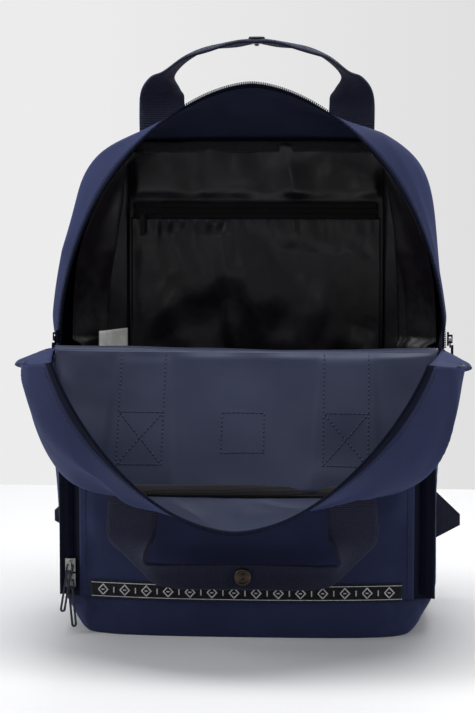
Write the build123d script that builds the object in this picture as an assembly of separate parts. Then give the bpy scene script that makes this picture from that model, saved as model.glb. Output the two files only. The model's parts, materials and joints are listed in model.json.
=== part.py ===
from build123d import *
import math
import os

# Boxy school backpack, standing on its base and unzipped. X is the wearer's left to right as seen from
# the front, -Y is the front, +Z is up, and the origin is the middle of the base's resting face.
# The upper front is a flap: it is folded forward over a soft hinge line and hangs inside out.

# ---- driving sizes, in millimetres ----
HALF_WIDTH = 147.0        # side seam from the middle of the bag
HALF_DEPTH = 70.0         # front and back seams from the mid plane
TOP = 382.0               # top seams of the front and back panels
ZIP_END = 218.0           # height where the main zip stops on each side
ZIP_OVERHANG = 8.0        # the zip edge's lower ends stand outside the side seams
ARCH_HALF_WIDTH = HALF_WIDTH + ZIP_OVERHANG
ZIP_CROWN = 48.0          # crown of the zip edge above the top seams
ARCH_TOP = TOP + ZIP_CROWN
BASE_IN_WIDTH = 17.0      # the resting face is smaller than the bag by this much at each side
BASE_IN_DEPTH = 12.0
BASE_HALF_WIDTH = HALF_WIDTH - BASE_IN_WIDTH
BASE_HALF_DEPTH = HALF_DEPTH - BASE_IN_DEPTH
BOOT_HEIGHT = 28.0        # base fabric turned up the walls
POCKET_BULGE = 16.0
POCKET_MARGIN = 19.0      # side seam to the pocket's edge
POCKET_HALF_WIDTH = HALF_WIDTH - POCKET_MARGIN
POCKET_BELOW_ZIP = 15.0
POCKET_TOP = ZIP_END - POCKET_BELOW_ZIP

FABRIC = 1.2
LINING = 0.8
BOARD = 2.5
FOAM = 7.0
WEBBING = 2.0
TAPE = 0.6
SEAM_GAP = 0.3            # clearance left between sewn sheets
RUN_GAP = 0.4             # clearance round anything that moves

HINGE_OUT = 4.0           # fold line in front of the front face
HINGE_UP = 24.0           # and above the zip ends
HINGE_Y = -HALF_DEPTH - HINGE_OUT
HINGE_Z = ZIP_END + HINGE_UP
OPEN_ANGLE = 153.0        # how far the flap is folded forward from closed
FOLD_SLACK = 21.0         # cloth between the fold line and the flap panel
FLAP_START = HINGE_Z + FOLD_SLACK
RIM_SLACK = 58.0          # free zip between the fold line and the flap's own zip edge
FLAP_RIM_START = HINGE_Z + RIM_SLACK
ZIP_EDGE_GAP = 1.6        # half the gap between the two zip edges when the flap is closed

WEBBING_WIDTH = 38.0
HANDLE_X = 78.0           # middle of each handle leg
BOX_STITCH_DOWN = 26.0    # top seam to the box stitch that holds each handle leg
BOX_STITCH_HEIGHT = 42.0
BOX_STITCH_TOP = TOP - BOX_STITCH_DOWN
BOX_STITCH_LOW = BOX_STITCH_TOP - BOX_STITCH_HEIGHT
GRIP_WIDTH = 19.0         # webbing folded in half along the grip
SNAP_RADIUS = 6.8
SNAP_BORE = 1.5
SNAP_FLAT = 9.0           # half of the flat stretch of grip under each press stud

PATCH = 34.0
PATCH_DOWN = 52.0         # top seam to the middle of the patch
PATCH_Z = TOP - PATCH_DOWN
RIBBON_WIDTH = 16.0
RIBBON_MARGIN = 6.0       # pocket's edge to the ribbon's end
RIBBON_HALF_LENGTH = POCKET_HALF_WIDTH - RIBBON_MARGIN

POCKET_ZIP_IN = 8.5       # side seam to the middle of the pocket zip
POCKET_ZIP_X = HALF_WIDTH - POCKET_ZIP_IN
POCKET_ZIP_LOW = 33.0
CHAIN_WIDTH = 4.0
CHAIN_DEPTH = 1.5
SLIDER_WIDTH = 8.0
SLIDER_HEIGHT = 10.5
SLIDER_DEPTH = 4.2
LOWER_SLIDER_Z = 41.0
UPPER_SLIDER_Z = 53.0
RIGHT_SLIDER_Z = 186.0
PULL_LENGTH = 32.0
PULL_WIDTH = 4.4
PULL_DEPTH = 2.0
BRIDGE_DEPTH = 3.0
EYE_DEPTH = 2.0

LINING_IN = 43.0          # the lining hangs away from the shell's back corners
LINING_BACK_HALF = HALF_WIDTH - LINING_IN
LINING_FRONT_Y = 10.0
INNER_ZIP_DOWN = 57.0     # top seam to the inner pocket's zip
INNER_ZIP_Z = TOP - INNER_ZIP_DOWN
INNER_ZIP_SHORT = 4.0     # the inner zip stops this far from the lining's edge
INNER_ZIP_HALF = LINING_BACK_HALF - INNER_ZIP_SHORT
INNER_POCKET_LOW = 90.0

STRAP_X = 44.0
STRAP_DOWN = 76.0         # top seam to the padded straps' stitching
STRAP_TOP = TOP - STRAP_DOWN
STRAP_PAD_WIDTH = 58.0
STRAP_PAD_DEPTH = 9.0
STRAP_WEBBING_WIDTH = 25.0
TAB_LOW = 52.0
TAB_HIGH = 92.0
TAB_REACH = 24.0

OUTLINE_POWER = 5.0
ARCH_POWER = 1.176

os.makedirs("parts", exist_ok=True)


def save(name, shape):
    shape.label = name
    export_step(shape, f"parts/{name}.step")


def slab(x0, x1, y0, y1, z0, z1):
    centre = ((x0 + x1) / 2, (y0 + y1) / 2, (z0 + z1) / 2)
    return Pos(*centre) * Box(abs(x1 - x0), abs(y1 - y0), abs(z1 - z0))


def mirrored(shape):
    return shape.mirror(Plane.YZ)


def both(shape):
    return Compound([shape, mirrored(shape)])


def quad(corners):
    return Face(Wire.make_polygon([Vector(*c) for c in corners], close=True))


def ruled(faces):
    return Solid.make_loft([f.outer_wire() for f in faces], True)


def strap(stations):
    """A flat strap through stations of (centre, width direction, normal, width, thickness)."""
    faces = []
    for centre, across, normal, width, thick in stations:
        c, a, n = Vector(*centre), Vector(*across).normalized(), Vector(*normal).normalized()
        u, v = a * (width / 2), n * (thick / 2)
        faces.append(quad([c - u - v, c + u - v, c + u + v, c - u + v]))
    return ruled(faces)


# ---- the zip edge and the panel outline, both as seen from the front ----
def arch(angle):
    a = math.radians(angle)
    side = 1 if angle <= 90 else -1
    x = side * ARCH_HALF_WIDTH * abs(math.cos(a)) ** ARCH_POWER
    return x, ZIP_END + (ARCH_TOP - ZIP_END) * math.sin(a)


def outline(x, z):
    """The point of the back or front panel's edge on the ray through (x, z)."""
    bearing = math.atan2(z - ZIP_END, x)
    across = abs(math.cos(bearing)) / HALF_WIDTH
    up = abs(math.sin(bearing)) / (TOP - ZIP_END)
    reach = (across**OUTLINE_POWER + up**OUTLINE_POWER) ** (-1 / OUTLINE_POWER)
    return reach * math.cos(bearing), ZIP_END + reach * math.sin(bearing)


def gusset_point(angle, share, side):
    """A point of the gusset: share 0 on the panel seam, 1 on the zip edge; side 1 is the back."""
    ax, az = arch(angle)
    ox, oz = outline(ax, az)
    y = (HALF_DEPTH - 1) * (1 - share) + ZIP_EDGE_GAP * share
    return Vector(ox + (ax - ox) * share, side * y, oz + (az - oz) * share)


def gusset_band(start, low, high, inner, outer, side, steps=18):
    """A band of the gusset from angle start to its mirror, between two shares and two offsets."""
    faces = []
    for i in range(steps + 1):
        angle = start + (180 - 2 * start) * i / steps
        p, q = gusset_point(angle, low, side), gusset_point(angle, high, side)
        mid = gusset_point(angle, (low + high) / 2, side)
        ahead = gusset_point(min(angle + 0.5, 180), (low + high) / 2, side)
        behind = gusset_point(max(angle - 0.5, 0), (low + high) / 2, side)
        normal = (ahead - behind).cross(q - p).normalized()
        if normal.dot(mid - Vector(0, mid.Y, ZIP_END)) < 0:
            normal = normal * -1
        faces.append(quad([p + normal * inner, q + normal * inner,
                           q + normal * outer, p + normal * outer]))
    return ruled(faces)


def panel_sheet(low_z, y0, y1, inset=0.0, steps=24):
    """A flat sheet of the panel's outline above low_z, between two depths."""
    points = []
    for i in range(steps + 1):
        x, z = outline(*arch(180 * i / steps))
        points.append((x * (1 - inset / HALF_WIDTH), z - inset * math.sin(math.pi * i / steps)))
    points = [p for p in points if p[1] > low_z + 1]
    right, left = points[0][0], points[-1][0]
    corners = [Vector(right, y0, low_z), *[Vector(x, y0, z) for x, z in points], Vector(left, y0, low_z)]
    face = Face(Wire.make_polygon(corners, close=True))
    return Solid.extrude(face, Vector(0, y1 - y0, 0))


def opened(shape):
    """Turns a shape from the closed flap to where the flap hangs open."""
    return shape.rotate(Axis((0, HINGE_Y, HINGE_Z), (1, 0, 0)), OPEN_ANGLE)


def opened_point(y, z):
    a = math.radians(OPEN_ANGLE)
    dy, dz = y - HINGE_Y, z - HINGE_Z
    return HINGE_Y + dy * math.cos(a) - dz * math.sin(a), HINGE_Z + dy * math.sin(a) + dz * math.cos(a)


def rim_angle(z):
    """Arch angle where the zip edge is at height z."""
    return math.degrees(math.asin((z - ZIP_END) / (ARCH_TOP - ZIP_END)))


# ---- shell ----
def base_boot():
    def section(half_x, half_y, z, radius):
        return Pos(0, 0, z) * RectangleRounded(2 * half_x, 2 * half_y, radius)

    corner = 14.0
    floor = FABRIC + 0.4
    top_x, top_y = HALF_WIDTH, HALF_DEPTH
    outer = loft([section(BASE_HALF_WIDTH, BASE_HALF_DEPTH, 0, corner),
                  section(top_x, top_y, BOOT_HEIGHT, corner)], ruled=True)
    share = floor / BOOT_HEIGHT
    low_x = BASE_HALF_WIDTH + (top_x - BASE_HALF_WIDTH) * share - floor
    low_y = BASE_HALF_DEPTH + (top_y - BASE_HALF_DEPTH) * share - floor
    inner = loft([section(low_x, low_y, floor, corner - floor),
                  section(top_x - floor, top_y - floor, BOOT_HEIGHT, corner - floor)], ruled=True)
    return outer - inner


def base_board():
    low = FABRIC + 0.4 + SEAM_GAP
    half_x, half_y = BASE_HALF_WIDTH - 8, BASE_HALF_DEPTH - 6
    return extrude(Pos(0, 0, low) * RectangleRounded(2 * half_x, 2 * half_y, 8), BOARD)


def side_panel():
    """Right side wall of the lower bag; its top edge runs at the end of the main zip."""
    return slab(HALF_WIDTH - FABRIC, HALF_WIDTH, -HALF_DEPTH + 1, HALF_DEPTH - 1,
                BOOT_HEIGHT + SEAM_GAP, ZIP_END - SEAM_GAP)


def wall_sheet(low_z, y0, y1, inset):
    """A panel sheet with its straight lower part down to low_z."""
    half = HALF_WIDTH - inset
    top = panel_sheet(ZIP_END, y0, y1, inset)
    foot = slab(-half, half, y0, y1, low_z, ZIP_END)
    return (top + foot).clean()


SHELL_LOW = BOOT_HEIGHT + SEAM_GAP
BACK_Y = HALF_DEPTH
save("base_boot", base_boot())
save("base_board", base_board())
save("side_right", side_panel())
save("side_left", mirrored(side_panel()))
save("back_outer", wall_sheet(SHELL_LOW, BACK_Y, BACK_Y + FABRIC, 1.0))
FOAM_FRONT = BACK_Y - 1 - SEAM_GAP - FOAM
save("back_foam", slab(-HALF_WIDTH + 18, HALF_WIDTH - 18, FOAM_FRONT, FOAM_FRONT + FOAM,
                       SHELL_LOW + 6, TOP - 32))
save("rear_gusset", gusset_band(0.3, 0.01, 0.86, 0.0, FABRIC, 1))
save("rear_zip_tape", gusset_band(0.6, 0.80, 0.962, -TAPE - 0.1, -0.1, 1))
save("rear_zip_teeth", gusset_band(3.0, 0.968, 1.0, -1.2, 1.2, 1))

# ---- lining and inner pocket ----
LINING_BACK_Y = FOAM_FRONT - SEAM_GAP - LINING
FLOOR_TOP = FABRIC + 0.4 + SEAM_GAP + BOARD + SEAM_GAP + LINING
LINING_LOW = SHELL_LOW + 1.0
LINING_TOP = TOP - 92


def lining_side():
    """Right side of the lining: it slants from behind the zip to the back lining's edge."""
    front_x, front_y = HALF_WIDTH - FABRIC - 4, LINING_FRONT_Y
    back_x, back_y = LINING_BACK_HALF + 1.5, LINING_BACK_Y
    corners = [(front_x, front_y, 0), (back_x, back_y, 0), (back_x + LINING, back_y, 0),
               (front_x + LINING, front_y, 0)]
    sheet = Solid.extrude(quad(corners), Vector(0, 0, LINING_TOP - LINING_LOW))
    return Pos(0, 0, LINING_LOW) * sheet


save("lining_right", lining_side())
save("lining_left", mirrored(lining_side()))
save("lining_back", slab(-LINING_BACK_HALF, LINING_BACK_HALF, LINING_BACK_Y, LINING_BACK_Y + LINING,
                         LINING_LOW, TOP - 12))
save("lining_floor", extrude(Pos(0, 0, FLOOR_TOP - LINING) * RectangleRounded(
    2 * (BASE_HALF_WIDTH - 12), 2 * (BASE_HALF_DEPTH - 10), 6), LINING))
save("top_seam_binding", slab(-LINING_BACK_HALF + 8, LINING_BACK_HALF - 8, LINING_BACK_Y - TAPE * 2,
                              LINING_BACK_Y - SEAM_GAP / 2, TOP - 20, TOP - 11))

POCKET_FACE_Y = LINING_BACK_Y - 3.2
save("inner_pocket_panel", slab(-INNER_ZIP_HALF - 2, INNER_ZIP_HALF + 2, POCKET_FACE_Y,
                                POCKET_FACE_Y + LINING, INNER_POCKET_LOW, INNER_ZIP_Z - 6.3))


def inner_pocket_zip():
    """Two tapes with the closed chain between them, across the top of the inner pocket."""
    y0 = POCKET_FACE_Y
    half = CHAIN_WIDTH / 2
    lower = slab(-INNER_ZIP_HALF, INNER_ZIP_HALF, y0, y0 + TAPE, INNER_ZIP_Z - 6, INNER_ZIP_Z - half - 0.1)
    upper = slab(-INNER_ZIP_HALF, INNER_ZIP_HALF, y0, y0 + TAPE, INNER_ZIP_Z + half + 0.1, INNER_ZIP_Z + 6)
    chain = slab(-INNER_ZIP_HALF, INNER_ZIP_HALF, y0 - CHAIN_DEPTH + TAPE, y0 + TAPE,
                 INNER_ZIP_Z - half, INNER_ZIP_Z + half)
    return Compound([lower, upper, chain])


save("inner_pocket_zip", inner_pocket_zip())
LABEL_ALONG = 36.0


def care_label():
    """A satin label sewn to the left side lining by its rear edge, standing just off the cloth."""
    front_x, front_y = HALF_WIDTH - FABRIC - 4, LINING_FRONT_Y
    back_x, back_y = LINING_BACK_HALF + 1.5, LINING_BACK_Y
    reach = math.hypot(front_x - back_x, front_y - back_y)
    ux, uy = (front_x - back_x) / reach, (front_y - back_y) / reach
    nx, ny = uy, -ux
    start, off, thick = 4.0, 1.2, 0.5
    p = (back_x + ux * start + nx * off, back_y + uy * start + ny * off)
    q = (p[0] + ux * LABEL_ALONG, p[1] + uy * LABEL_ALONG)
    corners = [(*p, 186), (*q, 186), (q[0] + nx * thick, q[1] + ny * thick, 186),
               (p[0] + nx * thick, p[1] + ny * thick, 186)]
    return mirrored(Solid.extrude(quad(corners), Vector(0, 0, 42)))


save("care_label", care_label())

# ---- lower front and its pocket ----
MAIN_FRONT_Y = -HALF_DEPTH + 4
save("front_panel", slab(-HALF_WIDTH + 2, HALF_WIDTH - 2, MAIN_FRONT_Y, MAIN_FRONT_Y + FABRIC,
                         SHELL_LOW, ZIP_END - 4))


BOW_RADIUS = (POCKET_HALF_WIDTH**2 + POCKET_BULGE**2) / (2 * POCKET_BULGE)


def bowed(half, low_z, high_z, offset, thick):
    """A sheet bowed forward round the pocket's curve, standing out from it by offset."""
    radius = BOW_RADIUS + offset
    centre_y = BOW_RADIUS - HALF_DEPTH - POCKET_BULGE
    angle = math.degrees(math.asin(half / radius))
    outer = CenterArc((0, centre_y), radius, 270 - angle, 2 * angle)
    inner = CenterArc((0, centre_y), radius - thick, 270 - angle, 2 * angle)
    face = make_face([outer, inner, Line(outer @ 0, inner @ 0), Line(outer @ 1, inner @ 1)])
    return Pos(0, 0, low_z) * extrude(face, high_z - low_z)


save("pocket_panel", bowed(POCKET_HALF_WIDTH, SHELL_LOW, POCKET_TOP, 0, FABRIC))
save("ribbon_band", bowed(RIBBON_HALF_LENGTH, SHELL_LOW + 0.2, SHELL_LOW + RIBBON_WIDTH - 2, 0.9, 0.8))

TAPE_BACK_Y = -HALF_DEPTH + 1.0
CHAIN_FRONT_Y = TAPE_BACK_Y - CHAIN_DEPTH


def pocket_zip():
    """Right pocket zip: two tapes and the closed chain, running up the front edge."""
    half = CHAIN_WIDTH / 2
    inner = slab(POCKET_HALF_WIDTH + 0.6, POCKET_ZIP_X - half - 0.1, TAPE_BACK_Y - TAPE, TAPE_BACK_Y,
                 POCKET_ZIP_LOW, POCKET_TOP)
    outer = slab(POCKET_ZIP_X + half + 0.1, HALF_WIDTH - FABRIC - 0.4, TAPE_BACK_Y - TAPE, TAPE_BACK_Y,
                 POCKET_ZIP_LOW, POCKET_TOP)
    chain = slab(POCKET_ZIP_X - half, POCKET_ZIP_X + half, CHAIN_FRONT_Y, TAPE_BACK_Y,
                 POCKET_ZIP_LOW, POCKET_TOP - 2)
    return Compound([inner, outer, chain])


save("pocket_zip_right", pocket_zip())
save("pocket_zip_left", mirrored(pocket_zip()))


# ---- zip sliders and their pulls ----
def slider_body():
    """Slider at the origin: the chain runs along Z behind it, and its face looks to -Y."""
    wall = SLIDER_WIDTH / 2
    channel = CHAIN_WIDTH / 2 + RUN_GAP
    plate_back = -RUN_GAP
    plate = slab(-wall, wall, plate_back - 1.4, plate_back, -SLIDER_HEIGHT / 2, SLIDER_HEIGHT / 2)
    flange = slab(channel, wall, plate_back, CHAIN_DEPTH - TAPE - RUN_GAP, -SLIDER_HEIGHT / 2,
                  SLIDER_HEIGHT / 2)
    front = plate_back - 1.4
    bridge = slab(-1.0, 1.0, front - BRIDGE_DEPTH, front, -3.4, 3.4)
    eye = slab(-1.1, 1.1, front - EYE_DEPTH, front, -1.9, 1.9)
    return (plate + flange + mirrored(flange) + bridge - eye).clean()


BRIDGE_Y = -RUN_GAP - 1.4 - EYE_DEPTH / 2    # pull wire's axis inside the bridge's eye


def pull_tab(lean=0.0, tilt=0.0, length=PULL_LENGTH):
    """Wire bail through the slider's eye with a slim looped tab hanging from it."""
    wire = 0.55
    bail_half, bail_drop, bail_y = 2.4, 6.5, BRIDGE_Y
    pin = Pos(0, bail_y, 0) * Rot(0, 90, 0) * Cylinder(wire, 2 * bail_half)
    legs = [Pos(s * bail_half, bail_y, -bail_drop / 2) * Cylinder(wire, bail_drop) for s in (-1, 1)]
    foot = Pos(0, bail_y, -bail_drop) * Rot(0, 90, 0) * Cylinder(wire, 2 * bail_half + 2 * wire)
    bail = (pin + legs[0] + legs[1] + foot).clean()
    tab_top = -bail_drop + 1.6
    outer = SlotOverall(length, PULL_WIDTH, rotation=90)
    inner = SlotOverall(length - 3.0, PULL_WIDTH - 3.0, rotation=90)
    loop = Plane.XZ * (outer - inner)
    tab = extrude(loop, PULL_DEPTH / 2, both=True)
    tab = Pos(0, bail_y - PULL_DEPTH / 2 - wire - 0.15, tab_top - length / 2) * tab
    leaning = Compound([bail, tab]).rotate(Axis((0, bail_y, 0), (0, 1, 0)), lean)
    return leaning.rotate(Axis((0, bail_y, 0), (1, 0, 0)), -tilt)


def on_pocket_zip(shape, x, z):
    return shape.moved(Location((x, CHAIN_FRONT_Y, z)))


for name, x, z, lean, tilt in (("left_upper", -POCKET_ZIP_X, UPPER_SLIDER_Z, 8.0, 12.0),
                               ("left_lower", -POCKET_ZIP_X, LOWER_SLIDER_Z, -5.0, 0.0),
                               ("right", POCKET_ZIP_X, RIGHT_SLIDER_Z, 0.0, 0.0)):
    save(f"{name}_slider", on_pocket_zip(slider_body(), x, z))
    save(f"{name}_pull", on_pocket_zip(pull_tab(lean, tilt), x, z))

MAIN_SLIDER_Z = ZIP_END + 8.0


def main_slider():
    """Right slider of the main zip, parked at the foot of the zip edge and facing outwards."""
    x = arch(rim_angle(MAIN_SLIDER_Z))[0]
    wall = SLIDER_WIDTH / 2
    plate = slab(x + 1.2 + RUN_GAP + 0.4, x + 3.4, -wall + 1.6, wall + 1.6,
                 MAIN_SLIDER_Z - SLIDER_HEIGHT / 2, MAIN_SLIDER_Z + SLIDER_HEIGHT / 2)
    bridge = slab(x + 3.4, x + 3.4 + BRIDGE_DEPTH, 0.6, 2.6, MAIN_SLIDER_Z - 3.4, MAIN_SLIDER_Z + 3.4)
    eye = slab(x + 3.4, x + 3.4 + EYE_DEPTH, 0.5, 2.7, MAIN_SLIDER_Z - 1.9, MAIN_SLIDER_Z + 1.9)
    return (plate + bridge - eye).clean()


def main_pull():
    x = arch(rim_angle(MAIN_SLIDER_Z))[0] + 3.4 + EYE_DEPTH / 2
    turned = pull_tab(0.0).moved(Location((0, -BRIDGE_Y, 0))).rotate(Axis.Z, 90)
    return turned.moved(Location((x, 1.6, MAIN_SLIDER_Z)))


save("main_slider_right", main_slider())
save("main_slider_left", mirrored(main_slider()))
save("main_pull_right", main_pull())
save("main_pull_left", mirrored(main_pull()))

INNER_SLIDER_X = -INNER_ZIP_HALF + 7


def inner_slider():
    turned = slider_body().rotate(Axis.Y, 90)
    return turned.moved(Location((INNER_SLIDER_X, POCKET_FACE_Y - CHAIN_DEPTH + TAPE, INNER_ZIP_Z)))


def inner_pull():
    """A short moulded pull that dangles from the front of the inner slider."""
    y = POCKET_FACE_Y - CHAIN_DEPTH + TAPE - RUN_GAP - 1.4 - BRIDGE_DEPTH
    ring = Rot(90, 0, 0) * (Cylinder(2.6, 1.0) - Cylinder(1.5, 1.0))
    tab = slab(-1.8, 1.8, -0.9, 0.9, -20.0, -2.4)
    return (ring + tab).clean().moved(Location((INNER_SLIDER_X, y - 3.0, INNER_ZIP_Z)))


save("inner_slider", inner_slider())
save("inner_pull", inner_pull())


# ---- flap, drawn closed and then opened ----
RIM_START = rim_angle(FLAP_RIM_START)
save("flap_panel", opened(panel_sheet(FLAP_START, -HALF_DEPTH - FABRIC, -HALF_DEPTH, 1.0)))
save("flap_gusset", opened(gusset_band(RIM_START, 0.01, 0.86, 0.0, FABRIC, -1, 16)))
save("flap_zip_tape", opened(gusset_band(RIM_START, 0.80, 0.962, -TAPE - 0.1, -0.1, -1, 16)))
save("flap_zip_teeth", opened(gusset_band(RIM_START, 0.968, 1.0, -1.2, 1.2, -1, 16)))
save("flap_seam_binding", opened(slab(-110, 110, -HALF_DEPTH + 0.2, -HALF_DEPTH + 1.4, TOP - 13, TOP - 3)))
OUTER_Y = -HALF_DEPTH - FABRIC
save("flap_patch", opened(slab(-PATCH / 2, PATCH / 2, OUTER_Y - 1.5, OUTER_Y - 0.1,
                               PATCH_Z - PATCH / 2, PATCH_Z + PATCH / 2)))


def flap_webbing():
    half = WEBBING_WIDTH / 2
    return opened(slab(HANDLE_X - half, HANDLE_X + half, OUTER_Y - 0.1 - WEBBING, OUTER_Y - 0.1,
                       FLAP_START + 1, BOX_STITCH_TOP))


save("flap_webbing_right", flap_webbing())
save("flap_webbing_left", mirrored(flap_webbing()))

# ---- front handle: it hangs from the flap's webbing, and its grip is folded in half ----
FRONT_PIVOT_Y, FRONT_PIVOT_Z = opened_point(OUTER_Y - 0.1 - WEBBING / 2, BOX_STITCH_TOP)
GRIP_THICK = 2 * WEBBING
GRIP_DROP = 86.0          # the front grip hangs this far below its pivots
GRIP_RISE = 108.0         # the rear grip stands this far above its pivots


def loop_strap(half_stations):
    """A strap through the stations of its right half and their mirror images."""
    left = [((-c[0], c[1], c[2]), (-a[0], a[1], a[2]), (-n[0], n[1], n[2]), w, t)
            for c, a, n, w, t in reversed(half_stations[:-1])]
    return strap([*half_stations, *left])


def front_handle():
    y, z = FRONT_PIVOT_Y, FRONT_PIVOT_Z
    lean = math.radians(180 - OPEN_ANGLE)
    start = (HANDLE_X, y - 0.6 * math.sin(lean), z - 0.6 * math.cos(lean))
    face = (0, -math.cos(lean), math.sin(lean))
    wide, grip = WEBBING_WIDTH, GRIP_WIDTH
    stations = [
        (start, (1, 0, 0), face, wide, WEBBING),
        ((HANDLE_X + 2, y - 1.0, z - 16), (1, 0, 0), (0, -1, 0), wide, WEBBING),
        ((HANDLE_X + 5, y + 0.5, z - 36), (1, 0, -0.1), (0, -1, 0), wide, WEBBING),
        ((HANDLE_X + 4, y + 3.0, z - 55), (1, 0, -0.5), (0, -1, 0), wide - 6, WEBBING),
        ((HANDLE_X - 6, y + 6.0, z - 71), (0.7, 0, -1), (0, -1, 0), wide - 14, WEBBING + 1),
        ((HANDLE_X - 24, y + 9.0, z - 80), (0.25, 0, -1), (0, -1, 0), grip, GRIP_THICK),
        ((HANDLE_X - 50, y + 11.0, z - GRIP_DROP + 1.5), (0.08, 0, -1), (0, -1, 0), grip, GRIP_THICK),
        ((SNAP_FLAT, y + 12.0, z - GRIP_DROP), (0, 0, -1), (0, -1, 0), grip, GRIP_THICK),
        ((0, y + 12.0, z - GRIP_DROP), (0, 0, -1), (0, -1, 0), grip, GRIP_THICK),
    ]
    return loop_strap(stations)


def snap_hole(y, z, reach):
    return Pos(0, y, z) * Rot(90, 0, 0) * Cylinder(SNAP_BORE + 0.05, reach)


GRIP_Y, GRIP_Z = FRONT_PIVOT_Y + 12.0, FRONT_PIVOT_Z - GRIP_DROP
save("front_handle", front_handle() - snap_hole(GRIP_Y, GRIP_Z, 12))


def front_snap():
    """Press-stud cap and post on the camera side of the grip, and its socket behind."""
    front, back = GRIP_Y - GRIP_THICK / 2, GRIP_Y + GRIP_THICK / 2
    cap = Pos(0, front - 0.9, GRIP_Z) * Rot(90, 0, 0) * Cylinder(SNAP_RADIUS, 1.6)
    post = Pos(0, (front + back) / 2, GRIP_Z) * Rot(90, 0, 0) * Cylinder(SNAP_BORE, back - front + 0.4)
    socket = Pos(0, back + 1.3, GRIP_Z) * Rot(90, 0, 0) * (Cylinder(SNAP_RADIUS - 1, 2.2) - Cylinder(3, 2.2))
    web = Pos(0, back + 0.5, GRIP_Z) * Rot(90, 0, 0) * Cylinder(SNAP_RADIUS - 1.5, 0.7)
    return (cap + post + socket + web).clean()


save("front_snap", front_snap())

# ---- rear handle ----
REAR_Y = HALF_DEPTH + FABRIC + 0.1 + WEBBING / 2


def rear_anchor():
    half = WEBBING_WIDTH / 2
    return slab(HANDLE_X - half, HANDLE_X + half, REAR_Y - WEBBING / 2, REAR_Y + WEBBING / 2,
                BOX_STITCH_LOW - 4, BOX_STITCH_TOP)


save("rear_handle_anchors", both(rear_anchor()))


def rear_handle():
    z = BOX_STITCH_TOP
    wide, grip = WEBBING_WIDTH, GRIP_WIDTH
    stations = [
        ((HANDLE_X, REAR_Y, z + 0.6), (1, 0, 0), (0, 1, 0), wide, WEBBING),
        ((HANDLE_X, REAR_Y, z + 34), (1, 0, 0), (0, 1, 0), wide, WEBBING),
        ((HANDLE_X + 1, REAR_Y, z + 56), (1, -0.2, 0.1), (0.2, 1, 0), wide - 4, WEBBING),
        ((HANDLE_X - 4, REAR_Y, z + 74), (0.8, -0.8, 0.5), (0.5, 0.8, 0.4), wide - 14, WEBBING + 1),
        ((HANDLE_X - 18, REAR_Y, z + 89), (0.15, -1, 0.15), (0.6, 0, 0.8), grip, GRIP_THICK),
        ((HANDLE_X - 42, REAR_Y, z + 102), (0, -1, 0), (0.35, 0, 1), grip, GRIP_THICK),
        ((SNAP_FLAT, REAR_Y, z + GRIP_RISE), (0, -1, 0), (0, 0, 1), grip, GRIP_THICK),
        ((0, REAR_Y, z + GRIP_RISE), (0, -1, 0), (0, 0, 1), grip, GRIP_THICK),
    ]
    return loop_strap(stations)


REAR_GRIP_Z = BOX_STITCH_TOP + GRIP_RISE
save("rear_handle", rear_handle() - Pos(0, REAR_Y, REAR_GRIP_Z) * Cylinder(SNAP_BORE + 0.05, 12))


def rear_snap():
    """Stud half of the press stud: a flat rivet under the grip and the stud above it."""
    low, high = REAR_GRIP_Z - GRIP_THICK / 2, REAR_GRIP_Z + GRIP_THICK / 2
    rivet = Pos(0, REAR_Y, low - 0.7) * Cylinder(SNAP_RADIUS - 1, 1.2)
    post = Pos(0, REAR_Y, (low + high) / 2) * Cylinder(SNAP_BORE, high - low + 0.4)
    flange = Pos(0, REAR_Y, high + 0.7) * Cylinder(SNAP_RADIUS - 1, 1.2)
    stud = Pos(0, REAR_Y, high + 2.2) * Cylinder(2.6, 2.4)
    return (rivet + post + flange + stud).clean()


save("rear_snap", rear_snap())

# ---- shoulder straps ----
BACK_FACE_Y = HALF_DEPTH + FABRIC
save("strap_yoke", slab(-STRAP_X - STRAP_PAD_WIDTH / 2 - 2, STRAP_X + STRAP_PAD_WIDTH / 2 + 2,
                        BACK_FACE_Y + 0.1, BACK_FACE_Y + 1.5, STRAP_TOP - 22, STRAP_TOP + 3))
PIVOT_Y = BACK_FACE_Y + 7.0
PAD_END_X, PAD_END_Y, PAD_END_Z = STRAP_X + 30, PIVOT_Y + 13.8, STRAP_TOP - 188


def strap_pad():
    """Right padded strap: it bows out from the yoke and narrows towards its buckle."""
    wide, thick = STRAP_PAD_WIDTH, STRAP_PAD_DEPTH
    stations = [
        ((STRAP_X, PIVOT_Y, STRAP_TOP), (1, 0, 0), (0, 1, 0), wide, thick - 2),
        ((STRAP_X + 3, PIVOT_Y + 13, STRAP_TOP - 34), (1, 0, 0.05), (0, 1, 0.3), wide, thick),
        ((STRAP_X + 9, PIVOT_Y + 22, STRAP_TOP - 76), (1, 0, 0.1), (0, 1, 0.1), wide, thick),
        ((STRAP_X + 18, PIVOT_Y + 24, STRAP_TOP - 120), (1, 0, 0.15), (0, 1, -0.05), wide - 6, thick),
        ((STRAP_X + 26, PIVOT_Y + 20, STRAP_TOP - 160), (1, 0, 0.2), (0, 1, -0.15), wide - 16, thick),
        ((PAD_END_X, PAD_END_Y, PAD_END_Z), (1, 0, 0.25), (0, 1, -0.25), wide - 24, thick - 3),
    ]
    return strap(stations)


save("strap_pad_right", strap_pad())
save("strap_pad_left", mirrored(strap_pad()))


def ladder_lock():
    """Two-bar buckle on the end of the padded strap."""
    frame = RectangleRounded(36, 26, 3)
    bars = [Pos(0, 6.2) * Rectangle(28, 5.2), Pos(0, -5.6) * Rectangle(28, 6.8)]
    plate = Plane.XZ * (frame - bars[0] - bars[1])
    lock = extrude(plate, 1.6, both=True)
    return Pos(PAD_END_X + 5, PAD_END_Y, PAD_END_Z - 16.2) * Rot(0, -14, 0) * lock


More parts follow.
